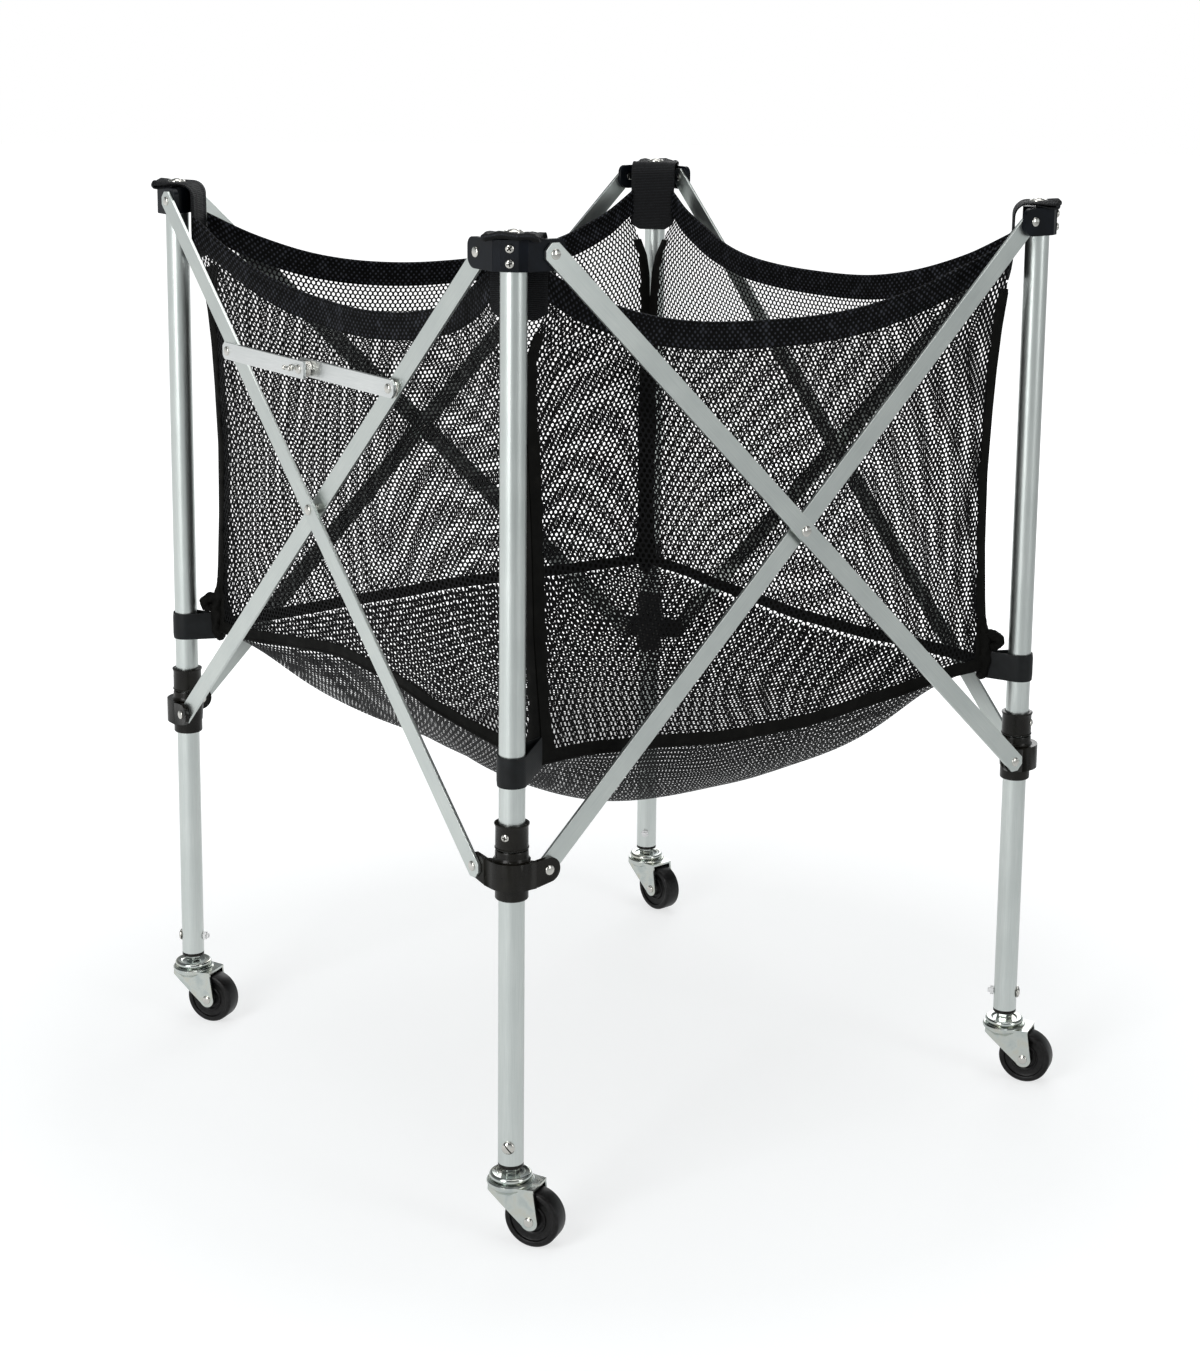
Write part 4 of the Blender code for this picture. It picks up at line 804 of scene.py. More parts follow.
side = LEG_INSIDE + CROWN_THICK
outline = [(CROWN_TAIL, side), *arc((0, 0), CROWN_ROUND, 58, 302, 30), (CROWN_TAIL, -side)]
fork = plate(outline, CROWN_THICK, Matrix.Translation(UP * (CROWN_Z + CROWN_THICK / 2)))
dish = lathe(mm([(15, 1.6), (16.3, 2.9), (17.8, 3.6), (19.3, 3.5), (20.4, 2.5), (20.6, 1), (20, -0.6), (18.4, -2.4),
                 (16.3, -4.2), (15, -6.2), (13, -6), (13.7, -4), (14.8, -1.8)], CROWN_Z), 56, ring=True)
foot = arc((TRAIL, WHEEL_RADIUS), LEG_FOOT, 212, 358, 14)
leg = mm([(26.6, 1.1), (-15, 1.1), (-15.2, -4.5)], CROWN_Z)
leg += bend(leg[-1], (-0.006, 0.0390), foot[0], 8) + foot[1:]
legs = [plate(leg, CROWN_THICK, in_face(way * (LEG_INSIDE + CROWN_THICK / 2))) for way in (-1, 1)]
combine(fork, "UNION", dish, *legs)
clear = rod(WHEEL_RADIUS + WHEEL_GAP, (TRAIL, -LEG_INSIDE + 0.0002, WHEEL_RADIUS),
            (TRAIL, LEG_INSIDE - 0.0002, WHEEL_RADIUS), 64)
hole = rod(KINGPIN_HOLE, UP * (CROWN_Z - 0.01), UP * (CROWN_Z + 0.01), 32)
combine(fork, "DIFFERENCE", clear, hole)
paint(soften(face_out(fork), 0.0007, 3, 32), ZINC)

reach = side + 0.0001
rim = [(radius, reach + height) for radius, height in dome(AXLE_HEAD, 0.0020)] + [(0.003, reach)]
axle = paint(moved(lathe(both_sides(rim), 28), ON_AXLE), POLISHED)

tread = arc((WHEEL_RADIUS - WHEEL_ROUND, WHEEL_HALF - WHEEL_ROUND), WHEEL_ROUND, 88, 12, 6)
disc = [(WHEEL_RADIUS, 0.0), *reversed(tread)]
disc += mm([(20.5, 9.5), (19.6, 9.1), (19, 7.4), (17.8, 6.9), (13.5, 6.9), (12.8, 8.1), (12, 8.4), (11.2, 8),
            (10.6, 6.7), (8.2, 6.7), (7.5, 7.5), (7.2, 10.8), (6.7, 11.4), (3.3, 11.4)])
wheel = paint(moved(lathe(both_sides(disc, 1), 72, ring=True), ON_AXLE), WHEEL_BLACK)

for name, axis in zip(POSTS, AXES):
    # The caster's trail is read off where the frame's wheel stands.
    trail = middle(f"caster_wheel_{name}") - axis
    place = Matrix.Translation((axis.x, axis.y, 0)) @ Matrix.Rotation(math.atan2(trail.y, trail.x), 4, "Z")
    settle(fork, f"fork_{name}", place, f"fork_{name}", "zinc_steel", f"caster_fork_{name}")
    settle(axle, f"axle_{name}", place, f"fork_{name}", "zinc_steel", f"caster_axle_{name}")
    settle(wheel, f"wheel_{name}", place, f"wheel_{name}", "wheel_plastic", f"caster_wheel_{name}")
retire(fork, axle, wheel)

# %% [markdown]
# A two-part strut holds one side open. Its left link lies in front and its right link behind. Between them a
# short spring of round wire sits on the knee rivet, and a pin with a small T handle locks the knee.

# %% Strut
STRUT_HALF = 0.5 * (PITCH / 2 - EAR_REACH)
STRUT_Z = (TOP_PIVOT + LOW_PIVOT) / 2 + 0.5 * (TOP_PIVOT - LOW_PIVOT) / 2
LINK_WIDTH, LINK_THICK, LINK_END, LINK_LAP, LINK_CLIP = 0.016, 0.0028, 0.0085, 0.019, 0.0036
LEFT_BACK, RIGHT_BACK = OUTER_FACE + 0.0052, INNER_FACE + FIT + 0.0023
LEFT_FACE, RIGHT_FACE = LEFT_BACK + LINK_THICK, RIGHT_BACK + LINK_THICK
LEFT_END, KNEE, RIGHT_END = PITCH / 2 - STRUT_HALF, PITCH / 2, PITCH / 2 + STRUT_HALF
SPRING_TURNS, SPRING_RADIUS, SPRING_WIRE = 4, 0.0066, 0.0009
LOCK_X, HANDLE_DEPTH, HANDLE_HALF = KNEE - 0.0125, LEFT_FACE + 0.0045, 0.0046
PIN_RADIUS, HANDLE_RADIUS, BALL_RADIUS = 0.0016, 0.0014, 0.0023

left_link = flat_bar((LEFT_END, STRUT_Z), (KNEE, STRUT_Z), LEFT_BACK, LINK_WIDTH, LINK_THICK, (LINK_END, LINK_END),
                     (LINK_CLIP, 0), STRUT_METAL)
right_link = flat_bar((KNEE, STRUT_Z), (RIGHT_END, STRUT_Z), RIGHT_BACK, LINK_WIDTH, LINK_THICK,
                      (LINK_LAP, LINK_END), (LINK_CLIP, 0.0040), STRUT_METAL)
left_rivets = join(rivet(LEFT_END, STRUT_Z, LEFT_FACE, OUTER_BACK), rivet(KNEE, STRUT_Z, LEFT_FACE, RIGHT_BACK - FIT),
                   washer(LEFT_END, STRUT_Z, LEFT_BACK - 0.0001, OUTER_FACE + 0.0001, 0.005, RIVET_RADIUS))
head = moved(lathe(dome(0.0044, 0.0022) + [(0, 0)], 28), facing(RIGHT_END, RIGHT_FACE, STRUT_Z))
right_rivets = join(head, washer(RIGHT_END, STRUT_Z, RIGHT_BACK - 0.0001, RIGHT_BACK - 0.0012, 0.0072, RIVET_RADIUS),
                    washer(RIGHT_END, STRUT_Z, RIGHT_BACK - 0.0013, INNER_FACE + 0.0002, 0.0082, RIVET_RADIUS))

# Round wire is swept up a screw about the knee, and its two ends are closed.
low, high = RIGHT_FACE + FIT + SPRING_WIRE, LEFT_BACK - FIT - SPRING_WIRE
spring = start(bpy.ops.mesh.primitive_circle_add, vertices=10, radius=SPRING_WIRE, fill_type="NOTHING",
               rotation=(math.radians(90), 0, 0), location=(SPRING_RADIUS, 0, 0))
screw = spring.modifiers.new("turns", "SCREW")
screw.screw_offset, screw.iterations = (high - low) / SPRING_TURNS, SPRING_TURNS
screw.steps = screw.render_steps = 24
apply_modifiers(spring)
open_mesh(spring, "EDGE")
bpy.ops.mesh.select_non_manifold(extend=False)
bpy.ops.mesh.edge_face_add()
close_mesh()
moved(smooth(face_out(spring)), facing(KNEE, low, STRUT_Z))

# The lock pin is a shank, a cross bar and two small balls.
pin = rod(PIN_RADIUS, (LOCK_X, -RIGHT_FACE - FIT, STRUT_Z), (LOCK_X, -HANDLE_DEPTH, STRUT_Z), 24)
ends = [(LOCK_X + way * HANDLE_HALF, -HANDLE_DEPTH, STRUT_Z) for way in (-1, 1)]
parts = [rod(HANDLE_RADIUS, *ends, 20)]
for end in ends:
    ball = start(bpy.ops.mesh.primitive_uv_sphere_add, segments=20, ring_count=12, radius=BALL_RADIUS)
    parts.append(moved(ball, Matrix.Translation(end) @ Matrix.Diagonal((0.8, 1, 1, 1))))
parts.append(washer(LOCK_X, STRUT_Z, LEFT_FACE + 0.0012, LEFT_FACE + 0.0001, 0.0031, PIN_RADIUS))
smooth(face_out(combine(pin, "UNION", *parts)), 40)

for master, name, body, slot, nodes in (
        (left_link, "strut_bar_left", "strut_left", "aluminium", ["strut_link_left"]),
        (right_link, "strut_bar_right", "strut_right", "aluminium", ["strut_link_right"]),
        (left_rivets, "strut_rivets_left", "strut_left", "zinc_steel", []),
        (right_rivets, "strut_rivets_right", "strut_right", "zinc_steel", []),
        (spring, "strut_spring", "strut_left", "zinc_steel", ["strut_knee_spring"]),
        (pin, "strut_pin", "lock_pin", "zinc_steel", ["strut_lock_pin"])):
    piece = settle(master, name, CORNERS[3], body, slot, *nodes)
    if slot == "zinc_steel":
        paint(piece, POLISHED)
    retire(master)
print("pieces so far", len(MADE))

# %% [markdown]
# The bag hangs from webbing and is sewn from open net. All of its cloth is skinned by code, because a sheet is
# a grid of points that follow a rule. A band of cloth is a closed ring of points carried along a path, with a UV
# map in metres, so that a weave keeps its true size wherever the band turns.

# %% Cloth helpers
def new_object(mesh):
    piece = bpy.data.objects.new("cloth", mesh)
    scene.collection.objects.link(piece)
    return piece


def skin(rings):
    """Skins closed rings of points into one solid band, with a UV map in metres."""
    work = bmesh.new()
    layer = work.loops.layers.uv.new("cloth")
    rows = [[work.verts.new(point) for point in ring] for ring in rings]
    count = len(rings[0])
    along, around, sample = [0.0], [0.0], rings[len(rings) // 2]
    for before, after in zip(rings, rings[1:]):
        along.append(along[-1] + (after[0] - before[0]).length)
    for j in range(count):
        around.append(around[-1] + (sample[(j + 1) % count] - sample[j]).length)
    for i in range(len(rows) - 1):
        for j in range(count):
            k = (j + 1) % count
            face = work.faces.new((rows[i][j], rows[i][k], rows[i + 1][k], rows[i + 1][j]))
            places = ((i, j), (i, j + 1), (i + 1, j + 1), (i + 1, j))
            for loop, (a, b) in zip(face.loops, places):
                loop[layer].uv = (along[a], around[b])
    for row in (rows[0], rows[-1]):
        work.faces.new(row)
    bmesh.ops.recalc_face_normals(work, faces=work.faces)
    mesh = bpy.data.meshes.new("cloth")
    work.to_mesh(mesh)
    work.free()
    return smooth(new_object(mesh), 50)


def ribbon(path, width, thick, columns=14, wave=lambda across, share: 0.0):
    """Webbing along a path of (point, face direction, width direction), with soft rounded edges."""
    rings = []
    for i, (point, face, side) in enumerate(path):
        rings.append([])
        for way, order in ((1, range(columns + 1)), (-1, range(columns, -1, -1))):
            for j in order:
                across = width * (j / columns - 0.5)
                half = thick * (0.22 if j in (0, columns) else 0.5)
                push = wave(across, i / (len(path) - 1))
                rings[-1].append(point + side * across + face * (way * half + push))
    return skin(rings)


def directions(points):
    """The way a line of points runs at each of them."""
    return [after - before for before, after in zip([points[0], *points], [*points[1:], points[-1]])]


def read_off(table, place):
    """Reads values off a table of (place, value, ...) rows, straight between the rows."""
    if place <= table[0][0]:
        return table[0][1:]
    for before, after in zip(table, table[1:]):
        if place <= after[0]:
            t = (place - before[0]) / (after[0] - before[0])
            return tuple(a + (b - a) * t for a, b in zip(before[1:], after[1:]))
    return table[-1][1:]


def clamp(value):
    return min(max(value, 0.0), 1.0)


def ease(value):
    value = clamp(value)
    return value * value * (3 - 2 * value)


# %% [markdown]
# Webbing is thick yarn woven tight: ribs run across it, and the black yarn has a soft sheen. The binding and the
# hem are finer, so each gets its own pattern, worked out from the real spacing of its threads.

# %% Cloth finishes
WAVES_PER_UNIT = 3.183


def waves(tree, place, spacing, direction, **more):
    """Dark and light bands this many metres apart."""
    inputs = {"Vector": place, "Scale": 1 / spacing / WAVES_PER_UNIT, **more}
    return add_node(tree, "TexWave", inputs, wave_type="BANDS", bands_direction=direction).outputs["Fac"]


def webbing_yarn(tree, place):
    ribs = waves(tree, place, 0.0017, "X", Distortion=0.5, Detail=2.0, **{"Detail Scale": 3.0})
    yarn = noise(tree, place, 0.8)
    # The colour follows the ribs' height: painted shade in the grooves and painted light on the rib tops.
    high = times(tree, ribs, yarn)
    return high, yarn, high


def twill_yarn(tree, place):
    soft = noise(tree, place, 9)
    return soft, soft, waves(tree, place, 0.0011, "DIAGONAL", Distortion=0.6)


def net_threads(tree, place):
    twist = noise(tree, place, 0.7, 2.0)
    return noise(tree, place, 40), twist, twist


def cloth_finish(name, space, patterns, tones, roughness, relief, shine, sheen, sheen_roughness, sheen_tone):
    return finish(name, space, patterns, tones, roughness, relief, Specular_IOR_Level=shine, Sheen_Weight=sheen,
                  Sheen_Roughness=sheen_roughness, Sheen_Tint=colour(sheen_tone))


def mesh_cloth(name, pitch_mm, low, high, depth_mm):
    # Doubled mesh: staggered dots a little lighter than the yarn, painted highlights that also lift its surface.
    def patterns(tree, place):
        turned = add_node(tree, "Mapping", {"Vector": place, "Rotation": (0, 0, math.radians(45)),
                                            "Scale": (1000 / pitch_mm, 1000 / pitch_mm, 1)}).outputs[0]
        relief_and_highlight_dots = add_node(tree, "TexVoronoi", {"Vector": turned, "Scale": 1.0, "Randomness": 0.12}).outputs["Distance"]
        drift = noise(tree, place, 12)
        return times(tree, relief_and_highlight_dots, drift), drift, relief_and_highlight_dots

    return cloth_finish(name, "cloth", patterns, ((0.04, high), (0.17, low)), (0.55, 0.8), (depth_mm, 0.7),
                        0.09, 0.01, 0.45, "#7F858C")


# Polyester webbing: ribs 1.7 mm apart across the band, painted shade between them and painted light on their
# tops, and a dull sheen on top.
WEBBING = cloth_finish("woven_polyester_webbing", "cloth", webbing_yarn,
                       ((0.05, "#030303"), (0.35, "#0C0D0F"), (0.7, "#303237")), (0.5, 0.8), (0.8, 0.9),
                       0.2, 0.03, 0.4, "#8C9096")
# Hem and binding both carry the light dots, painted highlights on the knit.
HEM_MESH = mesh_cloth("doubled_mesh_hem", 4.4, "#020202", "#3C3E45", 0.8)
BINDING = mesh_cloth("polyester_binding", 1.1, "#060605", "#1B1A16", 0.15)
# A smooth band of fine twill: near black, slightly green, with one broad soft highlight round the post.
TWILL = cloth_finish("fine_twill_strap", "cloth", twill_yarn, ((0.3, "#0A0C0D"), (0.7, "#141719")), (0.42, 0.6),
                     (0.10, 0.5), 0.25, 0.02, 0.4, "#6E7478")
# Knitted polyester yarn: black, with a faint grey sheen where light grazes the threads.
NET = cloth_finish("knitted_polyester_net", "Object", net_threads, ((0.3, "#050506"), (0.7, "#0B0B0D")),
                   (0.5, 0.75), (0.15, 0.5), 0.12, 0.01, 0.4, "#8A9098")

# %% [markdown]
# Over each bracket a patch of webbing is folded double at the front, pinned by an eyelet, and hung down behind
# the post, where the hems are sewn to its edges. It is one ribbon: its path goes forward under the fold, back
# over the top and down. The fold droops towards its ends, as loose webbing does.

# %% Top straps
STRAP_WIDTH, STRAP_THICK = 0.047, 0.0019
STRAP_BASE = BRACKET_TOP + FIT
EYELET_BASE = STRAP_BASE + 0.0043
FOLD_DROOP, FOLD_RIPPLE, FOLD_OUT = 0.0030, 0.0006, 0.0032
TAIL_TOP, TAIL_LENGTH, TAIL_LIFT = 0.800, 0.016, 0.006


def strap_wave(across, share):
    """Small ripples that grow towards the strap's edges."""
    ripple = 0.0004 * math.sin(across * 520 + share * 9) + 0.0003 * math.sin(across * 1130 + 2)
    return ripple * (1.6 if share < 0.5 else 1.0) * abs(across) / (STRAP_WIDTH / 2)


line = mm([(2, 1), (-6, 1), (-12, 1), (-16.5, 1.1)], STRAP_BASE)
line += arc((-0.0178, STRAP_BASE + 0.0030), 0.0019, -70, -250, 7)
line += mm([(-16.5, 4.7), (-12, 4.4), (-6, 3.7), (0, 3.3), (5, 3.1)], STRAP_BASE)
line += arc((0.0098, STRAP_BASE - 0.0091), 0.0122, 90, 0, 9)
line += mm([(22, 836), (22, 828), (22, 820), (22, 811), (22.4, 802), (23.5, 794), (24.8, 788), (25.8, 784)])
points = [on_corner(*point) for point in line]
path = [(point, run.cross(ACROSS).normalized(), ACROSS) for point, run in zip(points, directions(points))]
top_strap = ribbon(path, STRAP_WIDTH, STRAP_THICK, 22, strap_wave)
for vertex in top_strap.data.vertices:
    across, inward = vertex.co.dot(ACROSS), -vertex.co.dot(OUTWARD)
    edge = max(abs(across) / (STRAP_WIDTH / 2) - 0.35, 0) / 0.65
    folded = ease((vertex.co.z - BRACKET_TOP + 0.004) / 0.004) * ease((0.004 - inward) / 0.02)
    lop = 1.0 if across > 0 else 0.7
    vertex.co.z -= folded * (FOLD_DROOP * edge ** 2 * lop + FOLD_RIPPLE * math.sin(across * 260))
    vertex.co -= OUTWARD * (folded * FOLD_OUT * edge ** 1.5)
    tail = ease((TAIL_TOP - vertex.co.z) / TAIL_LENGTH)
    vertex.co.z += tail * TAIL_LIFT * max(abs(across) / (STRAP_WIDTH / 2) - 0.6, 0) / 0.4
eyelet = lathe(mm([(5.2, 0), (5.2, 0.7), (5.8, 1.3), (6.8, 1.6), (7.8, 1.2), (8.3, 0.4), (8.3, -0.2), (7.2, -0.1)],
                  EYELET_BASE), 44, ring=True)
join(eyelet, pan_head(0.0046, 0.0026, 2, 0.0011, 0.0012, UP * (EYELET_BASE + 0.0002), UP, 0.3))
eyelet.data.materials.clear()
at_corners(paint(top_strap, WEBBING), "webbing_{}", "webbing", "top_strap_{}")
at_corners(paint(eyelet, POLISHED), "eyelet_ring_{}", "zinc_steel")

# %% [markdown]
# The walls hang from the hems. A few rules give every point of a wall: where the corner seam runs at each
# height, how high the hem and the bottom seam are along the side, and how far the wall swells and ripples
# between the corners. Hem, bindings and net all read the same rules, so they stay sewn together.

# %% The shape of the bag
SEAM_RISE = (-0.020, -0.010, 0.004, 0.028)
SEAM_CORNER, HEM_MIDDLE = 0.412, 0.765
HEM_RISE, HEM_CURVE = 0.060, 2.4
SWELL, TUCK = 0.025, 0.013
FOLD_DEPTH, PULL_DEPTH, PULL_WIDTH = 0.0026, 0.0042, 0.10
# Height, distance inward and half gap of the corner seam, then how far the front one leans, in millimetres.
CORNER_LINE = mm([(400, 30, 0), (440, 32.5, 0), (480, 35, 0), (530, 37, 0), (600, 37.5, 0), (660, 35, 0),
                  (700, 32.5, 0), (735, 29.5, 1.5), (755, 27, 5), (775, 24.5, 13), (792, 23.2, 20.5),
                  (830, 22.5, 22.8)])
FRONT_LEAN = mm([(400, 18.5), (440, 17.5), (480, 14), (520, 11), (620, 8), (700, 4.5), (780, 0)])


def corner_point(index, z, way):
    """Where a wall's edge stands at a height, in the corner frame. The front corner leans to its right."""
    inward, gap = read_off(CORNER_LINE, z)
    lean = read_off(FRONT_LEAN, z)[0] if index == 0 else 0.0
    return on_diagonal(inward, lean + way * gap)


def seam_height(face, share):
    return SEAM_CORNER + SEAM_RISE[face] * math.sin(math.pi * share) ** 2


def hem_height(share):
    return HEM_MIDDLE + HEM_RISE * abs(2 * share - 1) ** HEM_CURVE


def wave(turns):
    return math.sin(2 * math.pi * turns)


def ripple(face, share, height):
    """Soft folds: long ones down the wall, and short slanting ones that start at the corners."""
    shift = 0.37 * face
    long_folds = wave(2.3 * share + 0.3 * height + shift) * (0.35 + 0.65 * height)
    cross_folds = 0.55 * wave(4.7 * share - 0.9 * height + 2 * shift) * (1 - 0.6 * height)
    corner_pull = sum(math.exp(-near / PULL_WIDTH) * wave(3.1 * height - 7 * near + shift * turn)
                      for near, turn in ((share, 1.0), (1 - share, -1.0)))
    return math.sin(math.pi * share) ** 0.6 * (FOLD_DEPTH * (long_folds + cross_folds) + PULL_DEPTH * corner_pull)


def wall_point(face, share, z, height):
    """A point of a wall, in its corner frame. height is 0 on the bottom seam and 1 on the hem."""
    begin, far = corner_point(face, z, 1), corner_point((face + 1) % 4, z, -1)
    end = (PITCH - far[1], far[0])
    level = clamp((z - SEAM_CORNER) / (HEM_MIDDLE - SEAM_CORNER))
    swell = SWELL - TUCK * (0.35 + 0.65 * math.sin(math.pi * level))
    part = math.sin(math.pi * share) ** 0.8 if 0 < share < 1 else 0.0
    x = begin[0] + (end[0] - begin[0]) * share
    y = (begin[1] + (end[1] - begin[1]) * share) * (1 - part) + swell * part
    return Vector((x, y + ripple(face, share, height), z))


def wall_spot(face, share, z):
    """A point of the wall at a height above the floor."""
    low, top = seam_height(face, share), hem_height(share)
    return wall_point(face, share, z, (z - low) / (top - low))


def on_wall(face, share, rise, from_top=False):
    """A point of the wall at a distance above the bottom seam, or below the hem's top edge."""
    share = clamp(share)
    return wall_spot(face, share, hem_height(share) - rise if from_top else seam_height(face, share) + rise)


def wall_front(face, share, rise, from_top=False):
    """The direction that faces out of the wall at a point."""
    along = on_wall(face, clamp(share + 0.004), rise, from_top) - on_wall(face, clamp(share - 0.004), rise, from_top)
    up = on_wall(face, share, rise - 0.001, from_top) - on_wall(face, share, rise + 0.001, from_top)
    front = along.cross(up).normalized()
    return front if front.y < 0 else -front


print("a wall is", round(hem_height(0.5) - seam_height(0, 0.5), 3), "m high in its middle")

# %% [markdown]
# The hem is the net folded double over a cord: a band 24 mm high with a round upper edge. The bottom seam is
# bound with a narrow tape that has a piped lower edge, and each corner is bound the same way. Each band is a
# small closed outline carried along the wall.

# %% Hems and bindings
# Each outline is (distance from the edge, distance out of the wall) in millimetres. The binding's distance from
# the edge is a share of its width.
HEM_OUTLINE = mm([(24.2, 0.7), (23.8, 1.15), (20.5, 1.0), (12.0, 1.25), (6.2, 0.95), (5.4, 0.70), (4.6, 0.95),
                  (3.4, 1.45), (1.8, 1.95), (0.5, 1.75), (-0.3, 0.9), (-0.4, -0.4), (0.3, -1.6), (1.8, -2.1),
                  (3.4, -1.7), (4.8, -0.9), (12.0, -1.1), (20.5, -0.9), (23.8, -1.0), (24.2, -0.6)])
TAPE_OUTLINE = mm([(-1.6, 0.2), (-1.5, 1.1), (-0.6, 1.7), (0.6, 1.6), (1.3, 0.9), (2.2, 0.85), (8.8, 0.9),
                   (10.2, 0.8), (10.5, 0.2), (10.2, -0.6), (8.8, -0.7), (2.2, -0.7), (1.0, -0.9), (-0.2, -1.3),
                   (-1.3, -0.7)])
BINDING_TOP, BINDING_WIDTH, BINDING_FLARE, BINDING_WAVE = 0.772, 0.0112, 0.0050, 0.0007
BINDING_OUTLINE = ((0, 0.9), (0.5, 1.0), (0.93, 0.9), (1, 0.3), (1, -0.4), (0.93, -0.8), (0.5, -0.9), (0, -0.8))


def wall_band(face, outline, from_top, sections=72):
    rings = []
    for i in range(sections + 1):
        share = i / sections
        front = wall_front(face, share, 0.008, from_top)
        rings.append([on_wall(face, share, rise, from_top) + front * out for rise, out in outline])
    return skin(rings)


def corner_band(face, far_end, sections=60):
    """The binding on one upright edge of a wall, wider at its foot."""
    rings = []
    for i in range(sections + 1):
        rise = 0.001 + (BINDING_TOP - SEAM_CORNER) * i / sections
        width = BINDING_WIDTH + BINDING_FLARE * ease((0.040 - rise) / 0.03)
        width += BINDING_WAVE * math.sin(rise * 240 + 2 * face)
        pucker = 0.6 * math.sin(rise * 410 + face) + 0.4 * math.sin(rise * 930)
        rings.append([])
        for part, out in BINDING_OUTLINE:
            share = width * part / (PITCH - 0.05)
            share = 1 - share if far_end else share
            front = wall_front(face, share, rise) * (out + pucker * part) / 1000
            rings[-1].append(wall_spot(face, share, SEAM_CORNER + rise) + front)
    return skin(rings)


# %% [markdown]
# The net is knitted in a honeycomb, a hole every 5.1 mm along and 4.4 mm up. An image with holes would lose its
# edges when the model is exported, so the threads are real faces: each hole is a gap with six corners, and
# three strips and two small triangles join it to its neighbours. That is only eight triangles a hole.

# %% Net sheets
def hole_shape(wide, tall):
    """A hole's six corners from its half width and half height, in shares of its cell."""
    waist = 0.545 * tall
    return (0, tall), (wide, waist), (wide, -waist), (0, -tall), (-wide, -waist), (-wide, waist)


WALL_HOLE, FLOOR_HOLE = hole_shape(0.290, 0.462), hole_shape(0.215, 0.345)
GATHER_WIDTH, GATHER_PULL = 0.055, 0.45
NET_LOW, NET_HIGH = 0.0085, 0.0225


def gathers(share):
    """How near a share is to each end of a wall: 1 on the end and near 0 away from it."""
    return math.exp(-share / GATHER_WIDTH), math.exp(-(1 - share) / GATHER_WIDTH)


def knit(columns, rows, hole, place, gathered=0.0):
    """A sheet of honeycomb net. place takes the shares across and up to a point. gathered closes its end holes."""
    points, faces = [], []
    for row in range(rows):
        for column in range(columns):
            middle_share = (column + 0.5 + 0.5 * (row % 2)) / (columns + 0.5)
            narrow = 1 - gathered * min(sum(gathers(middle_share)), 1.0)
            for across, up in hole:
                u = middle_share + across * narrow / (columns + 0.5)
                points.append(place(clamp(u), clamp((row + 0.5 + up) / rows)))

    def at(column, row, *turns):
        return [6 * (row * columns + column) + turn for turn in turns]

    for row in range(rows):
        for column in range(columns):
            right, left, more = column + row % 2, column + row % 2 - 1, column + 1 < columns
            if more:
                faces.append(at(column, row, 1, 2) + at(column + 1, row, 4, 5))
            if row + 1 == rows:
                continue
            if right < columns:
                faces.append(at(column, row, 0, 1) + at(right, row + 1, 3, 4))
            if left >= 0:
                faces.append(at(column, row, 5, 0) + at(left, row + 1, 2, 3))
            if right < columns and left >= 0:
                faces.append(at(column, row, 0) + at(right, row + 1, 4) + at(left, row + 1, 2))
            if right < columns and more:
                faces.append(at(column, row, 1) + at(column + 1, row, 5) + at(right, row + 1, 3))
    mesh = bpy.data.meshes.new("net")
    mesh.from_pydata(points, [], faces)
    mesh.shade_smooth()
    return paint(new_object(mesh), NET)


def wall_net(face):
    def place(across, up):
        near, far = gathers(across)
        pull = GATHER_PULL * GATHER_WIDTH
        across = clamp((across + pull * (near - far - 1)) / (1 - 2 * pull))
        low, top = seam_height(face, across) + NET_LOW, hem_height(across) - NET_HIGH
        z = low + (top - low) * up
        return wall_point(face, across, z, (z - seam_height(face, across)) / (top + NET_HIGH - low + NET_LOW))
    return knit(98, 80, WALL_HOLE, place, gathered=0.5)


# %% [markdown]
# When the cart folds, the net can't follow the bars: it crumples like a curtain. Each wall rides on one post,
# and the hem and the bindings ride with it.

# %% Walls
CARRIERS = ("front", "right", "left", "front")


def gather(piece, face):
    """Gives a wall's piece its own mesh."""
    post_axis = AXES[POSTS.index(CARRIERS[face])]
    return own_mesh(piece)


for face, name in enumerate(FACES):
    body, place = f"{CARRIERS[face]}_post", CORNERS[face]
    hem = paint(wall_band(face, HEM_OUTLINE, True), HEM_MESH)
    tape = paint(wall_band(face, TAPE_OUTLINE, False), BINDING)
    sides = [paint(corner_band(face, far_end), BINDING) for far_end in (False, True)]
    net = wall_net(face)
    cloth = settle(net, f"net_{name}", place, body, "net", f"net_wall_{name}")
    trims = [settle(hem, f"hem_{name}", place, body, "net"), settle(tape, f"seam_tape_{name}", place, body, "net")]
    trims += [settle(side, f"corner_binding_{name}_{end}", place, body, "net")
              for side, end in zip(sides, ("start", "end"))]
    for piece in [cloth, *trims]:
        gather(piece, face)
    retire(net, hem, tape, *sides)
print("net faces on a side", len(cloth.data.polygons))

# %% [markdown]
# The floor is one more panel of the same net, sewn to all four bottom seams. Its edge is read off the walls, and
# between the edges the panel is blended and then let down in the middle. It is kept in two halves, because each
# half rides on the posts of its own side when the cart folds.

# %% Floor
FLOOR_DROP, FLOOR_LAP = 0.102, 0.004


def floor_edge(face, share):
    """A point of a wall's bottom seam, on the cart."""
    share = clamp(share)
    return CORNERS[face] @ wall_point(face, share, seam_height(face, share), 0.0)


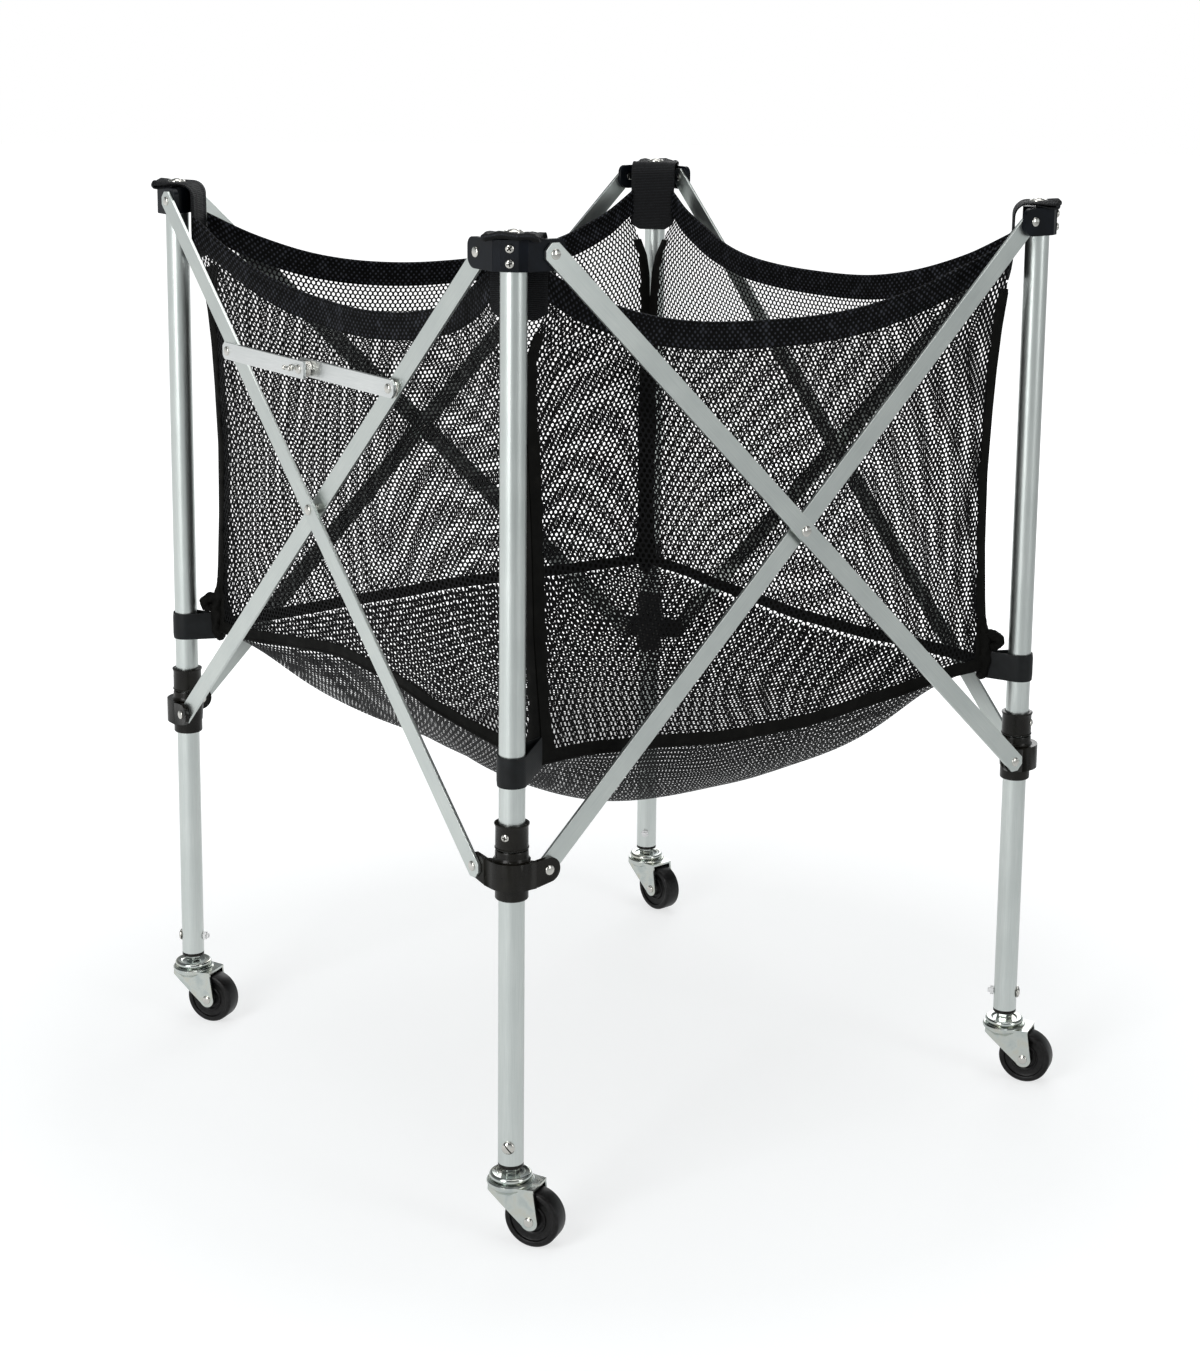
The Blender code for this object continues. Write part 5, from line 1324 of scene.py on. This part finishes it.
def floor_point(u, v):
    sides = (floor_edge(0, u) * (1 - v) + floor_edge(2, 1 - u) * v
             + floor_edge(3, 1 - v) * (1 - u) + floor_edge(1, v) * u)
    corners = (floor_edge(0, 0) * (1 - u) * (1 - v) + floor_edge(0, 1) * u * (1 - v)
               + floor_edge(2, 1) * (1 - u) * v + floor_edge(2, 0) * u * v)
    point = sides - corners
    p, q = 2 * u - 1, 2 * v - 1
    sag = (1 - abs(p) ** 4) * (1 - abs(q) ** 4)
    folds = 0.0016 * math.sin(9 * p + 4 * q) + 0.0012 * math.sin(7 * q - 11 * p + 1)
    point.z -= 0.0006 + FLOOR_DROP * sag + folds * sag
    return point


for side, begin, carrier in (("left", 0.0, "front"), ("right", 0.5 - FLOOR_LAP, "right")):
    panel = knit(68, 148, FLOOR_HOLE,
                 lambda across, up, begin=begin: floor_point(begin + across * (0.5 + FLOOR_LAP), up))
    cloth = settle(panel, f"net_bottom_{side}", Matrix.Identity(4), f"{carrier}_post", "net", f"net_floor_{side}")
    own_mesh(cloth)
    retire(panel)

# %% [markdown]
# A smooth strap ties each lower corner to its post: it goes round the tube and comes back to the corner seam,
# where both ends are sewn together. At the front the bag pulls it to the right. Above it, the end of the corner
# binding is rolled up into a fat knot, and the cloth is gathered where the seams of the corner meet.

# %% Lower straps
STRAP_LOW, STRAP_HIGH = 0.402, 0.428
STRAP_MIDDLE = (STRAP_LOW + STRAP_HIGH) / 2
TIE_THICK, LEG_GAP, FRONT_RISE = 0.0016, 0.0009, 0.007
STRAP_LEG = (0.0, 0.12, 0.3, 0.5, 0.7, 0.88)


def low_strap(end, rise):
    """A strap round the post whose two legs meet at a point of the corner seam."""
    radius, end = TUBE_RADIUS + FIT + TIE_THICK / 2, Vector((*end, rise))
    aim = math.atan2(end.y, end.x)
    opening = math.acos(radius / end.length)
    side = Vector((-math.sin(aim), math.cos(aim), 0)) * LEG_GAP
    turns = [aim + opening + (2 * math.pi - 2 * opening) * i / 40 for i in range(41)]
    points = [Vector((math.cos(turn), math.sin(turn), 0)) * radius for turn in turns]
    points = ([(end + side).lerp(points[0], t) for t in STRAP_LEG] + points
              + [points[-1].lerp(end - side, 1 - t) for t in reversed(STRAP_LEG)])
    lift = UP * STRAP_MIDDLE
    path = [(point + lift, run.cross(UP).normalized(), UP) for point, run in zip(points, directions(points))]
    return paint(ribbon(path, STRAP_HIGH - STRAP_LOW, TIE_THICK, 6), TWILL)


def smooth_line(points, count):
    """More points on the smooth curve through a few."""
    line = []
    for step in range(count + 1):
        place = step / count * (len(points) - 1)
        i = min(int(place), len(points) - 2)
        t = place - i
        a, b, c, d = (points[min(max(k, 0), len(points) - 1)] for k in (i - 1, i, i + 1, i + 2))
        line.append(tuple(0.5 * (2 * q + (r - p) * t + (2 * p - 5 * q + 4 * r - s) * t * t
                                 + (3 * q - p - 3 * r + s) * t ** 3) for p, q, r, s in zip(a, b, c, d)))
    return line


def rolled(points, radius, crease=0.12, steps=18):
    """Rolled-up cloth: a fat creased rod along (inward, height, size) points in the corner's plane."""
    rings, line = [], smooth_line(points, 40)
    places = [on_corner(inward, z) for inward, z, size in line]
    for i, (place, run) in enumerate(zip(places, directions(places))):
        face = run.normalized().cross(ACROSS).normalized()
        rings.append([])
        for j in range(steps):
            turn = 2 * math.pi * j / steps
            creases = 1 + crease * math.sin(3 * turn + 0.7 * i) + 0.5 * crease * math.sin(5 * turn - 1.3 * i)
            reach = radius * line[i][2] * creases
            rings[-1].append(place + face * (reach * math.cos(turn)) + ACROSS * (1.15 * reach * math.sin(turn)))
    return skin(rings)


for index, name in enumerate(POSTS):
    strap = low_strap(corner_point(index, STRAP_MIDDLE, 1), FRONT_RISE if index == 0 else 0.0)
    settle(strap, f"tie_strap_{name}", CORNERS[index], f"{name}_post", "webbing", f"lower_strap_{name}")
    retire(strap)
loop = rolled([(0.0385, 0.4390, 0.8), (0.0330, 0.4428, 1.0), (0.0265, 0.4436, 1.1), (0.0216, 0.4408, 1.2),
               (0.0206, 0.4366, 1.15), (0.0236, 0.4340, 1.0), (0.0275, 0.4342, 0.85), (0.0305, 0.4355, 0.6)], 0.0047)
bundle = rolled([(0.0362, 0.4005, 0.45), (0.0352, 0.4050, 1.1), (0.0336, 0.4150, 1.35), (0.0334, 0.4280, 1.40),
                 (0.0346, 0.4400, 1.35), (0.0362, 0.4520, 1.05), (0.0372, 0.4640, 0.7), (0.0378, 0.4760, 0.3)],
                0.0050)
knot = paint(join(loop, bundle), BINDING)
for name, place in list(zip(POSTS, CORNERS))[1:]:
    settle(knot, f"binding_end_{name}", place, f"{name}_post", "net")
retire(knot)
print("frame pieces still showing:", [name for name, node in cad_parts.items() if not node.hide_render])
